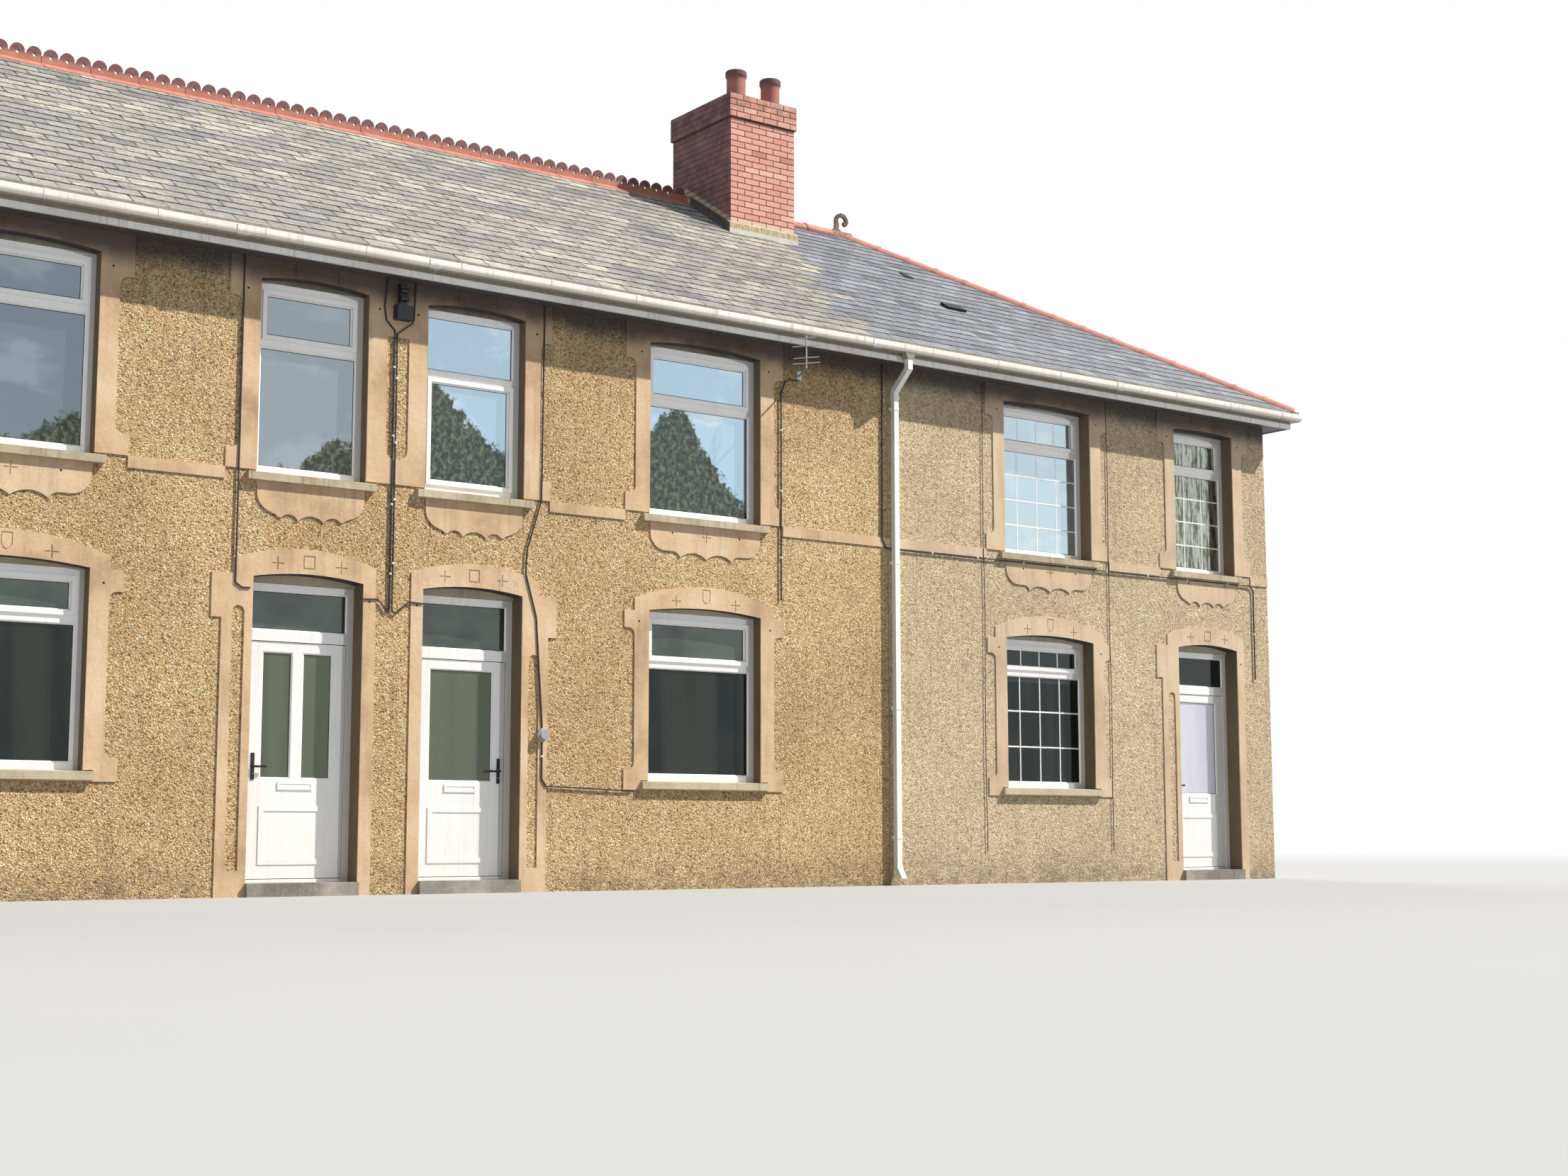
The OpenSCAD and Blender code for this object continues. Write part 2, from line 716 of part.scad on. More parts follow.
module downpipes() color("#e9e6dd") {
    downpipe();
    at_rear() downpipe();
}

// Sills

// Section of a sill in y-z, from the wall's outer face inwards
module sill_2d(back) polygon([[-half_d - sill_out, 0], [-half_d - sill_out, sill_h], [-half_d + back, sill_top],
                              [-half_d + wall_t, sill_top], [-half_d + wall_t, 0]]);

module sill(w, back) {
    rotate([90, 0, 90]) linear_extrude(height = w) sill_2d(back);
    intersection() {
        translate([-sill_past, 0, 0]) rotate([90, 0, 90]) linear_extrude(height = w + 2 * sill_past) sill_2d(back);
        box([-sill_past, w + sill_past], [-half_d - sill_out, -half_d], [0, sill_top]);
    }
}

module sills_of(h) at_house(h) {
    translate([door_x, 0, sill_up_z]) sill(door_w, reveal(h));
    translate([win_x, 0, sill_up_z]) sill(win_w, reveal(h));
    translate([win_x, 0, sill_low_z]) sill(win_w, reveal(h));
}

module sills() color("#aaa393") for (h = [1:4]) {
    sills_of(h);
    at_rear() sills_of(h);
}

// Render bands

// Ear of a band, drawn from the band's edge upwards, with a hollow under it
module ear_2d(h) {
    square([ear_w, h]);
    translate([0, -ear_r]) difference() {
        square([ear_r, ear_r + eps]);
        translate([ear_r, 0]) circle(r = ear_r, $fn = arc);
    }
}

// Ears on both sides of an opening
module ears_2d(x, w, z, h) {
    translate([x + w + band_w - eps, z]) ear_2d(h);
    translate([x - band_w + eps, z]) mirror([1, 0]) ear_2d(h);
}

module foot_ears_2d(x, w, z, h) translate([0, 2 * z + h]) mirror([0, 1]) ears_2d(x, w, z, h);

top_ear_h = 380;
foot_ear_h = 185;
foot_z = sill_up_z + 92;
ear_reach = band_w + ear_w - eps;

module upper_surround_2d(x, w) {
    translate([x - band_w, foot_z]) square([w + 2 * band_w, soffit_z - foot_z]);
    ears_2d(x, w, soffit_z - top_ear_h, top_ear_h);
    foot_ears_2d(x, w, foot_z, foot_ear_h);
}

// Points of an apron from its middle: two shallow and two deep under a narrow window
function cusps(w) = w > 1.2 * door_w ? [-0.2315 * w, 0, 0.2315 * w] : [-0.283 * w, -0.119 * w, 0.119 * w, 0.283 * w];

cusp_drop = 58;
cusp_side = 88;
apron_corner = 175;

// Apron under a sill: round lower corners and a scalloped edge between them
module apron_2d(w) {
    flat = apron_h - cusp_drop;
    c = cusps(w);
    last = c[len(c) - 1];
    for (x = [12 + apron_corner, w - 12 - apron_corner]) translate([x, apron_corner - flat]) circle(r = apron_corner, $fn = arc);
    translate([12, apron_corner - flat]) square([w - 24, flat - apron_corner]);
    translate([12 + apron_corner, -flat]) square([w - 24 - 2 * apron_corner, flat]);
    translate([w / 2, -flat]) difference() {
        translate([-last - cusp_side, 1 - cusp_drop]) square([2 * last + 2 * cusp_side, cusp_drop]);
        for (i = [0:len(c) - 2]) arch_under_2d((c[i] + c[i + 1]) / 2, c[i + 1] - c[i]);
        for (m = [0, 1]) mirror([m, 0]) {
            arch_under_2d(last + cusp_side, 2 * cusp_side);
            translate([last + cusp_side, -cusp_drop]) square([200, cusp_drop - 2]);
            if (len(c) > 3) translate([0.2 * w, -cusp_drop - eps]) square([400, cusp_drop - 34]);
        }
    }
}

module arch_under_2d(x, span) translate([x, -2 - arc_r(span, cusp_drop)]) circle(r = arc_r(span, cusp_drop), $fn = arc);

strip_half = 113;
module upper_bands_2d(h) difference() {
    union() {
        upper_surround_2d(door_x, door_w);
        upper_surround_2d(win_x, win_w);
        for (x = [[door_x + door_w + ear_reach, win_x - ear_reach], [win_x + win_w + ear_reach, house_w]])
            translate([x[0] - eps, foot_z - string_h]) square([x[1] - x[0] + 2 * eps, string_h]);
        if (end_of(h) > 0) translate([-end_of(h), foot_z - string_h]) square([end_of(h) + door_x - ear_reach + eps, string_h]);
        else translate([0, foot_z]) square([door_x, soffit_z - foot_z]);
        translate([door_x, sill_up_z]) apron_2d(door_w);
        translate([win_x, sill_up_z]) apron_2d(win_w);
    }
    for (o = [[door_x, door_w], [win_x, win_w]]) {
        up_hole_2d(h, o[0], o[1]);
        translate([o[0] - sill_past, sill_up_z]) square([o[1] + 2 * sill_past, sill_top]);
    }
    // strip of roughcast between the windows that meet at a party line
    if (end_of(h) == 0) {
        translate([0, foot_z + 340]) square([strip_half, 1060]);
        translate([0, foot_z + 340]) circle(r = strip_half, $fn = arc);
    }
}

// How far a house's front runs past its house line: only at the ends of the row
function end_of(h) = h == 1 || h == 4 ? end_margin : 0;

// Marks cut into the bands: a cross, a square, a shield and the seats of studs
cross_arm = 58;
line_w = 11;
module cross_2d(x, z) translate([x, z]) {
    square([2 * cross_arm, line_w], center = true);
    square([line_w, 2 * cross_arm], center = true);
}

module stud_2d(x, z) translate([x, z]) circle(r = 11, $fn = 20);

module outline_2d(points) difference() {
    polygon(points);
    translate([0, 0]) polygon([for (p = points) p * (1 - 0.2)]);
}

module square_mark_2d(x, z) translate([x, z]) outline_2d([[-58, -62], [58, -62], [58, 62], [-58, 62]]);
module shield_mark_2d(x, z) translate([x, z]) outline_2d([[-50, 78], [50, 78], [50, -20], [26, -66], [0, -78], [-26, -66], [-50, -20]]);

module upper_marks_2d(h) {
    mid = win_x + win_w / 2;
    cross_2d(mid, sill_up_z - 110);
    for (x = [-420, 420]) stud_2d(mid + x, sill_up_z - 95);
    if (end_of(h) > 0) {
        cross_2d(door_x + door_w / 2, sill_up_z - 75);
        for (x = [-325, 325]) stud_2d(door_x + door_w / 2 + x, sill_up_z - 65);
    }
    for (x = [win_x - 105, win_x + win_w + 105, door_x - 105, door_x + door_w + 125]) stud_2d(x, soffit_z - 300);
    for (x = [-210, 210]) cross_2d(door_x + door_w / 2 + x, soffit_z - 70);
}

module upper_bands() color("#d6ab7b") difference() {
    front_slab(band_t, band_t) for (h = [1:4]) intersection() {
        at_house(h) upper_bands_2d(h);
        translate([-half_l, 0]) square([2 * half_l, soffit_z]);
    }
    front_slab(band_t + eps, mark_t + eps) for (h = [1:4]) at_house(h) upper_marks_2d(h);
}

head_rise_out = 160;
low_ear_z = win_low_spring - 190;
door_ear_z = door_spring - 385;
strip_in = 76;
strip_out = 190;

// A strip of roughcast with a round top stands inside the door's outer band; in the right-hand pair it is shorter
function strip_top(h) = h < 3 ? door_spring - 328 : door_spring - 618;

module lower_bands_2d(h) difference() {
    edge = door_x + door_w;
    union() {
        // wide window
        translate([win_x - band_w, sill_low_z - 12])
            arched_2d(win_w + 2 * band_w, win_low_spring + 114 - sill_low_z + 12, head_rise_out);
        ears_2d(win_x, win_w, low_ear_z, 178);
        foot_ears_2d(win_x, win_w, sill_low_z - 12, 200);
        // door
        translate([door_x - 124, 0]) arched_2d(124 + door_w + strip_out, door_spring + 150, 125);
        translate([edge + strip_out - eps, 0]) square([100, door_ear_z + eps]);
        translate([edge + strip_out - eps, door_ear_z]) square([195, 400]);
    }
    low_hole_2d();
    door_hole_2d();
    translate([win_x - sill_past, sill_low_z]) square([win_w + 2 * sill_past, sill_top]);
    translate([edge + strip_in, 230]) square([strip_out - strip_in, strip_top(h) - 230]);
    translate([edge + (strip_in + strip_out) / 2, strip_top(h)]) circle(r = (strip_out - strip_in) / 2, $fn = 32);
}

module lower_marks_2d() {
    mid = win_x + win_w / 2;
    for (x = [-370, 370]) cross_2d(mid + x, win_low_spring + 112);
    shield_mark_2d(mid + 4, win_low_spring + 172);
    for (x = [win_x - 120, win_x + win_w + 120, door_x - 62]) stud_2d(x, win_low_spring - 122);
    for (x = [-308, 308]) cross_2d(door_x + door_w / 2 + x, door_spring + 133);
    square_mark_2d(door_x + door_w / 2 + 5, door_spring + 158);
}

module lower_bands() color("#d6ab7b") difference() {
    front_slab(band_t, band_t) for (h = [1:4]) at_house(h) lower_bands_2d(h);
    front_slab(band_t + eps, mark_t + eps) for (h = [1:4]) at_house(h) lower_marks_2d();
}

// Frames and glass

// Panes of a window as [x, z, w, h] from the opening's lower left corner, over its sill: below, then above the transom
function panes(w, h, light, low) = let (
    s = [low ? sash_w : 0, low ? 0 : sash_w],
    z = [frame_w, h - light + frame_w / 2],
    top = [h - light - frame_w / 2, h - frame_w])
    [for (i = [0, 1]) [frame_w + s[i], z[i] + s[i], w - 2 * frame_w - 2 * s[i], top[i] - z[i] - 2 * s[i]]];

module pane_2d(p) translate([p[0], p[1]]) square([p[2], p[3]]);

module ring_2d(p, w) difference() {
    translate([p[0] - w, p[1] - w]) square([p[2] + 2 * w, p[3] + 2 * w]);
    pane_2d(p);
}

// A flat-headed frame above its sill, with a sash round one of its panes
module window_frame(w, h, light, low, set) translate([0, 0, sill_top]) {
    ps = panes(w, h - sill_top, light, low);
    front_slab(-set, frame_t) difference() {
        square([w, h - sill_top]);
        for (p = ps) pane_2d(p);
    }
    front_slab(-set + sash_out, sash_out) ring_2d(ps[low ? 0 : 1], sash_w - 6);
}

module window_glass(w, h, light, low, set) translate([0, 0, sill_top])
    front_slab(-set - (frame_t - pane_t) / 2, pane_t) for (p = panes(w, h - sill_top, light, low)) pane_2d(p);

module one_window(h, kind, w, height, glass) {
    if (glass) window_glass(w, height, light(h, kind), opens_below(h, kind), reveal(h));
    else window_frame(w, height, light(h, kind), opens_below(h, kind), reveal(h));
}

module upper_windows(h, glass) at_house(h) {
    translate([win_x, 0, sill_up_z]) one_window(h, 0, win_w, win_up_spring - sill_up_z, glass);
    translate([door_x, 0, sill_up_z]) one_window(h, 1, door_w, win_up_spring - sill_up_z, glass);
}

module lower_windows(h, glass) at_house(h) translate([win_x, 0, sill_low_z])
    one_window(h, 2, win_w, win_low_spring - sill_low_z, glass);

// Filling between the flat heads of the frames and the segmental arches
module infill_2d(x, w, spring, rise, drop) translate([x, spring]) intersection() {
    translate([0, -drop - 10]) arched_2d(w, drop + 10, rise);
    translate([0, -drop]) square([w, drop + rise + eps]);
}

module infills(h) at_house(h) {
    front_slab(-door_reveal + infill_out, infill_out) infill_2d(door_x, door_w, door_spring, head_rise, infill_drop);
    front_slab(-door_reveal + eps, wall_t - door_reveal + eps) infill_2d(door_x, door_w, door_spring, head_rise, 0);
    front_slab(-reveal(h) + 8, wall_t - reveal(h) + 8) {
        infill_2d(win_x, win_w, win_low_spring, head_rise, 0);
        for (o = [[door_x, door_w], [win_x, win_w]]) infill_2d(o[0], o[1], win_up_spring, up_rise(h), 0);
    }
}

module arch_infills() color("#b59a78") for (h = [1:4]) {
    infills(h);
    at_rear() infills(h);
}

white = "#f2f3f1";
module window_frames_upper() color(white) for (h = [1:4]) {
    upper_windows(h, false);
    at_rear() upper_windows(h, false);
}
module window_frames_lower() color(white) for (h = [1:4]) {
    lower_windows(h, false);
    at_rear() lower_windows(h, false);
}
module glass_upper() color("#9fb4c4", 0.6) for (h = [1:4]) {
    upper_windows(h, true);
    at_rear() upper_windows(h, true);
}
module glass_lower() color("#5d6a70", 0.6) {
    for (h = [1:4]) {
        lower_windows(h, true);
        at_rear() lower_windows(h, true);
    }
    for (h = [1:4]) {
        at_house(h) fanlight_glass(h);
        at_rear() at_house(h) fanlight_glass(h);
    }
}

// Doors

function leaf_top_of(h) = h == 3 ? leaf_top : leaf_top + leaf_more;
function leaf_h(h) = leaf_top_of(h) - frame_sill - leaf_gap;
function transom_z(h) = floor_z + leaf_top_of(h) + leaf_gap;
function fan_pane(h) = let (z = transom_z(h) + transom_h)
    [door_x + frame_w, z, door_w - 2 * frame_w, door_spring - infill_drop - frame_w - z];

module fanlight_glass(h) front_slab(-door_reveal - (frame_t - pane_t) / 2, pane_t) pane_2d(fan_pane(h));

hinge_zs = [250, 1050, 1850];

// Frame with its fanlight, threshold and the hinges' fixed knuckles
module door_frame(h, hinged) {
    front_slab(-door_reveal, frame_t) difference() {
        translate([door_x, floor_z]) square([door_w, door_spring - floor_z]);
        translate([door_x + frame_w, floor_z + frame_sill])
            square([door_w - 2 * frame_w, transom_z(h) - floor_z - frame_sill]);
        pane_2d(fan_pane(h));
    }
    if (hinged) for (z = hinge_zs) for (k = [-1, 1])
        translate([leaf_u, leaf_back + axis_back, floor_z + z + k * 36]) {
            cylinder(r = knuckle_r, h = 30, center = true, $fn = 24);
            box([-leaf_gap - 34, 0], [-axis_back, -axis_back + 5], [-15, 15]);
        }
}

// Leaf with holes for its glass, a raised lower panel and a letter plate on its middle rail
module door_leaf(h, spindle, hinged) {
    out = leaf_t - frame_t - door_reveal;
    difference() {
        front_slab(out, leaf_t) difference() {
            translate([leaf_u, leaf_z]) square([leaf_w, leaf_h(h)]);
            for (p = leaf_panes(h)) pane_2d(p);
        }
        if (spindle) translate([lever_u, -half_d, floor_z + lever_z]) rotate([-90, 0, 0])
            cylinder(r = spindle_r + spindle_play, h = 1000, $fn = 24);
    }
    front_slab(out + 8, 8) difference() {
        translate([leaf_u + stile_w, leaf_z + stile_w]) square([leaf_w - 2 * stile_w, rail_z - 2 * stile_w]);
        translate([leaf_u + stile_w + 45, leaf_z + stile_w + 45]) square([leaf_w - 2 * stile_w - 90, rail_z - 2 * stile_w - 90]);
    }
    front_slab(out + 10, 10) translate([leaf_u + leaf_w / 2, floor_z + rail_z + 92]) difference() {
        square([340, 70], center = true);
        square([300, 34], center = true);
    }
    front_slab(out + 6, 6) translate([leaf_u + leaf_w / 2, floor_z + rail_z + 92]) square([301, 35], center = true);
    if (hinged) for (z = hinge_zs) translate([leaf_u, leaf_back + axis_back, floor_z + z]) {
        cylinder(r = knuckle_r, h = 40, center = true, $fn = 24);
        box([0, 40], [-axis_back, -axis_back + 5], [-20, 20]);
    }
}

// Door 2 has two tall panes, the others one
function leaf_panes(h) = let (
    n = h == 2 ? 2 : 1,
    w = (leaf_w - 2 * stile_w - (n - 1) * mullion_w) / n,
    z = floor_z + rail_z + rail_h)
    [for (i = [0:n - 1]) [leaf_u + stile_w + i * (w + mullion_w), z, w, leaf_z + leaf_h(h) - top_rail - z]];

module door_glass(h) front_slab(leaf_t - frame_t - door_reveal - (leaf_t - pane_t) / 2, pane_t)
    for (p = leaf_panes(h)) pane_2d(p);

mullion_w = 100;
plate_t = 8;
leaf_front = leaf_back - leaf_t;
// Plates of the handle inside and out
module door_plates(spindle) {
    z = floor_z + lever_z;
    for (y = [leaf_front - plate_t, leaf_back]) difference() {
        box([lever_u - 16, lever_u + 16], [y, y + plate_t], [z - 118, z + 122]);
        if (spindle) translate([lever_u, y - 5, z]) rotate([-90, 0, 0]) cylinder(r = spindle_r + spindle_play, h = 30, $fn = 24);
    }
}

lever_len = 115;
lever_gap = 2;
// Spindle through the leaf with a lever on each face
module door_lever(spindle) {
    z = floor_z + lever_z;
    y0 = leaf_front - plate_t - lever_gap;
    y1 = leaf_back + plate_t + lever_gap;
    if (spindle) translate([lever_u, y0 - 10, z]) rotate([-90, 0, 0]) cylinder(r = spindle_r, h = y1 - y0 + 20, $fn = 24);
    for (y = [y0 - 38, y1]) {
        translate([lever_u, y, z]) rotate([-90, 0, 0]) cylinder(r = 11, h = 38, $fn = 24);
        box([lever_u - lever_len, lever_u], [y < y0 ? y : y + 24, (y < y0 ? y : y + 24) + 14], [z - 10, z + 10]);
    }
    if (!spindle) for (y = [leaf_front - plate_t - lever_gap, leaf_back + plate_t])
        translate([lever_u, y, z]) rotate([-90, 0, 0]) cylinder(r = 11, h = lever_gap, $fn = 24);
}

module door_1_frame() color(white) at_house(1) door_frame(1, false);
module door_2_frame() color(white) at_house(2) door_frame(2, true);
module door_3_frame() color(white) at_house(3) door_frame(3, true);
module door_4_frame() color(white) at_house(4) door_frame(4, true);

// Doors that stay shut: the leaf of house 1, and the rear doors in their frames
module fixed_doors() color(white) {
    at_house(1) shut_leaf(1);
    for (h = [1:4]) at_rear() at_house(h) {
        door_frame(h, false);
        shut_leaf(h);
    }
}

// Leaf with its glass and rebate as one piece
module shut_leaf(h) {
    door_leaf(h, false, false);
    door_glass(h);
    front_slab(leaf_t - frame_t - door_reveal - 10, leaf_t - 20) difference() {
        translate([door_x + frame_w, floor_z + frame_sill])
            square([door_w - 2 * frame_w, transom_z(h) - floor_z - frame_sill]);
        translate([leaf_u + eps, leaf_z + eps]) square([leaf_w - 2 * eps, leaf_h(h) - 2 * eps]);
    }
    door_plates(false);
    door_lever(false);
}

module door_2_leaf() color(white) at_house(2) door_leaf(2, false, true);
module door_3_leaf() color(white) at_house(3) door_leaf(3, true, true);
module door_4_leaf() color(white) at_house(4) door_leaf(4, false, true);
module door_2_glass() color("#5d6a70", 0.6) at_house(2) door_glass(2);
module door_3_glass() color("#5d6a70", 0.6) at_house(3) door_glass(3);
module door_4_glass() color("#c9cdd6", 0.6) at_house(4) door_glass(4);
module door_2_handle() color("#2b2b2c") at_house(2) { door_plates(false); door_lever(false); }
module door_4_handle() color("#2b2b2c") at_house(4) { door_plates(false); door_lever(false); }
module door_3_plates() color("#2b2b2c") at_house(3) door_plates(true);
module door_3_lever() color("#2b2b2c") at_house(3) door_lever(true);

// Services on the front

cable_r = 6;

// Cable along points in x-z, close against the bands
module cable(points) front_slab(band_t + 2 * cable_r, 2 * cable_r) {
    for (i = [0:len(points) - 2]) {
        a = points[i];
        d = points[i + 1] - a;
        translate(a) rotate(atan2(d[1], d[0])) translate([0, -cable_r]) square([norm(d), 2 * cable_r]);
    }
    if (len(points) > 2) for (i = [1:len(points) - 2])
        translate(points[i]) circle(r = cable_r + 0.5, $fn = 20);
}

// Service box below the eaves, on the party line of the middle houses
head_z = soffit_z - 385;
module service_head() color("#1d1f22") {
    y = -half_d - band_t;
    box([-62, 100], [y - 95, y], [head_z, head_z + 140]);
    box([-18, 46], [y - 60, y], [head_z + 139, head_z + 350]);
    for (z = [200, 275]) translate([14, y - 75, head_z + z]) rotate([0, 90, 0]) cylinder(r = 24, h = 84, center = true, $fn = 24);
}

gable_u = door_x + door_w + band_w;
module wall_cables() color("#23201e") {
    low = door_spring - 130;
    cable([[-130, soffit_z - 5], [-154, head_z + 110], [-134, head_z - 12], [-42, head_z - 105], [-42, low - 90], [-70, low - 110],
           [-130, low - 30], [-170, low], [-door_x, low - 8]]);
    cable([[164, soffit_z - 5], [152, head_z + 30], [134, head_z - 10], [-18, head_z - 130], [-18, low - 100], [20, low - 120],
           [110, low - 40], [150, low - 5], [door_x, low - 12]]);
    cable([[-gable_u + 2, soffit_z - 5], [-gable_u + 2, low + 60], [-gable_u + 60, low + 20], [-gable_u + 140, low + 20]]);
    cable([[gable_u + 33, soffit_z - 5], [gable_u + 20, sill_up_z + 90], [gable_u - 130, 3300], [gable_u - 145, 3060],
           [gable_u - 22, 2640], [box_u, box_z + 70]]);
    cable([[box_u, box_z - 70], [box_u, sill_low_z + 80], [box_u + 50, sill_low_z + 10], [win_x - 190, sill_low_z - 25]]);
    cable([[4738, 5394], [4600, 5392], [4549, 5370], [win_x + win_w + 262, 5231], [win_x + win_w + 262, 3000]]);
    cable([[5886, soffit_z - 5], [5876, sill_up_z + 290], [5870, sill_up_z + 80], [5925, sill_up_z - 22],
           [house_w + pipe_x + 110, sill_up_z - 26], [2 * house_w - 40, sill_up_z - 26], [2 * house_w + 20, sill_up_z - 80],
           [2 * house_w + 20, 2490]]);
}

box_u = gable_u + 58;
box_z = 1500;
module wall_box() color("#b9bbbd") translate([box_u, -half_d - band_t, box_z]) rotate([90, 0, 0]) {
    cylinder(r = 60, h = 45, $fn = 40);
    cylinder(r = 40, h = 62, $fn = 40);
}

// Small aerial on a bent arm in front of the gutter: [height on the mast, half length] of its rods
aerial_rods = [[43, 150], [103, 140], [230, 155], [316, 100]];
module tv_aerial() color("#b8babb") {
    plate = [4740, -half_d, 5450];
    mast = [4542, -half_d - 394, 5450];
    translate(plate) box([-30, 30], [-10, 0], [-50, 50]);
    pipe(plate - [0, 7, 0], mast, 10);
    pipe(mast, mast + [0, 0, 330], 9);
    for (rod = aerial_rods) translate(mast + [0, 0, rod[0]]) rotate([90, 0, 37])
        cylinder(r = 6, h = 2 * rod[1], center = true, $fn = 20);
}

// Vents that stand on the slates
module roof_vents() color("#2c2e31") for (v = [[8175, 1389, 150, 45], [8344, 2475, 60, 25]]) difference() {
    translate([v[0], v[1] - half_d, roof_z(half_d - v[1])]) rotate([pitch, 0, 0])
        translate([-v[2], -100, -60]) cube([2 * v[2], 170, 60 + v[3]]);
    translate([0, 0, seat]) along_front()
        polygon([[0, ridge_z], [-half_d - 600, roof_z(half_d + 600)], [-half_d, 0], [0, 0]]);
}

front_wall_left();
front_wall_right();
front_piers();
front_over_doors();
rear_wall();
end_walls();
party_walls();
ground_floor();
first_floor();
door_steps();
roof_front();
roof_rear();
roof_hips();
crest_tiles();
plain_ridge_tiles();
finials();
chimney_stacks();
chimney_pots();
chimney_fillets();
eaves_front();
eaves_rear();
eaves_ends();
gutter_front();
gutter_rear();
gutter_ends();
downpipes();
sills();
upper_bands();
lower_bands();
arch_infills();
window_frames_upper();
window_frames_lower();
glass_upper();
glass_lower();
door_1_frame();
door_2_frame();
door_3_frame();
door_4_frame();
fixed_doors();
door_2_leaf();
door_2_glass();
door_2_handle();
door_3_leaf();
door_3_glass();
door_3_plates();
door_3_lever();
door_4_leaf();
door_4_glass();
door_4_handle();
service_head();
wall_cables();
tv_aerial();
wall_box();
roof_vents();
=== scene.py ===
"""Terraced house row: finishes, slates, bricks and small fittings, and the studio round them.

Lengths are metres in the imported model's frame: the origin is on the ground, at the middle of the
row and under the ridge, and the front faces -Y. Houses count from the left, and each is drawn from
its house line, the line that it shares with its neighbour on the door side. A distance from that
line is called u.
"""

from __future__ import annotations

import logging
import math
import random
from dataclasses import dataclass, field
from enum import Enum
from functools import cached_property
from typing import Callable, Sequence

import bmesh
import bpy
import numpy as np
from mathutils import Matrix, Vector


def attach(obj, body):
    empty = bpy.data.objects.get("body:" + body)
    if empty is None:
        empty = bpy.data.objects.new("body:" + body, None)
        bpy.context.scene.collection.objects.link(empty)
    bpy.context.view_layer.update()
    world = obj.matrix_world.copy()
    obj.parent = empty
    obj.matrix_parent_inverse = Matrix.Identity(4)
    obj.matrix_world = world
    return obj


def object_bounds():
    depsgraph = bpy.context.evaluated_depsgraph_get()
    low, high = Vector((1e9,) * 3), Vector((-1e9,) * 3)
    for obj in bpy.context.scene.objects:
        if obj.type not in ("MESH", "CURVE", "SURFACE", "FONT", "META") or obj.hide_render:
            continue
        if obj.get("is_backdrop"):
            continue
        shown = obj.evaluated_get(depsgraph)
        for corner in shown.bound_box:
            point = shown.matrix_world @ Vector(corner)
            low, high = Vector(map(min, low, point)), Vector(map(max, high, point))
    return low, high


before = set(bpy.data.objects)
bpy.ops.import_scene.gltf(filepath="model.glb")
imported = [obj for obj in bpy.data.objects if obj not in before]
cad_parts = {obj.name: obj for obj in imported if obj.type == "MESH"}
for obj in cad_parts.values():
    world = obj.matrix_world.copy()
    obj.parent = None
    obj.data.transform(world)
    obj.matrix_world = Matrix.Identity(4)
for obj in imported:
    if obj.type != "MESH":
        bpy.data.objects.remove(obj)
log = logging.getLogger("terrace")

Thing = bpy.types.Object
Colour = tuple[float, float, float, float]
Place = tuple[float, float, float]
Corners = tuple[Place, Place]
Span = tuple[float, float]


# Sizes


@dataclass(frozen=True)
class Row:
    """Sizes that the whole row shares, repeated from the part's source."""

    house_w: float = 5.970
    half_d: float = 3.840
    half_l: float = 12.250
    ridge_z: float = 8.520
    apex_x: float = 8.410
    edge_z: float = 5.943
    soffit_z: float = 5.740
    eave: float = 4.140
    slope: float = 0.62245
    door_u: float = 0.304
    door_w: float = 1.066
    win_u: float = 2.830
    win_w: float = 1.395
    sill_up: float = 3.785
    sill_low: float = 1.085
    spring_up: float = 5.552
    spring_low: float = 2.796

    def roof_z(self, depth: float) -> float:
        """Return the height of the slope's plane at a distance from the ridge."""
        return self.ridge_z - abs(depth) * self.slope

    def x_of(self, house: int, u: float) -> float:
        """Return the x of a distance from a house's line."""
        if house in (1, 3):
            return u - (2 * self.house_w if house == 1 else 0)
        return (2 * self.house_w if house == 4 else 0) - u

    def low_x(self, house: int, u: float, width: float) -> float:
        """Return the lower x of something that starts at u and has a width."""
        return min(self.x_of(house, u), self.x_of(house, u + width))


ROW = Row()
HOUSES = (1, 2, 3, 4)


class Side(Enum):
    """Front or rear of the row."""

    FRONT = 0
    REAR = 1

    def turn(self) -> Matrix:
        """Return the turn that carries something made for the front to this side."""
        return Matrix.Rotation(math.pi * self.value, 4, "Z")


# Nodes


def tint(red: int, green: int, blue: int) -> Colour:
    """Return a colour written in screen values as the linear one that a node takes."""
    parts = [v / 255 for v in (red, green, blue)]
    linear = [v / 12.92 if v < 0.0405 else ((v + 0.055) / 1.055) ** 2.4 for v in parts]
    return (linear[0], linear[1], linear[2], 1.0)


@dataclass(frozen=True)
class Wire:
    """What a node puts out: it adds, subtracts, multiplies and divides as a number does."""

    web: Web
    socket: bpy.types.NodeSocket

    def __add__(self, other: object) -> Wire:
        """Return the sum."""
        return self.web.calc("ADD", self, other)

    def __sub__(self, other: object) -> Wire:
        """Return the difference."""
        return self.web.calc("SUBTRACT", self, other)

    def __rsub__(self, other: float) -> Wire:
        """Return what is left of a number."""
        return self.web.calc("SUBTRACT", other, self)

    def __mul__(self, other: object) -> Wire:
        """Return the product."""
        return self.web.calc("MULTIPLY", self, other)

    def __truediv__(self, other: object) -> Wire:
        """Return the quotient."""
        return self.web.calc("DIVIDE", self, other)

    def __rtruediv__(self, other: float) -> Wire:
        """Return a number's quotient."""
        return self.web.calc("DIVIDE", other, self)

    def __abs__(self) -> Wire:
        """Return the size without its sign."""
        return self.web.calc("ABSOLUTE", self)

    __radd__ = __add__
    __rmul__ = __mul__


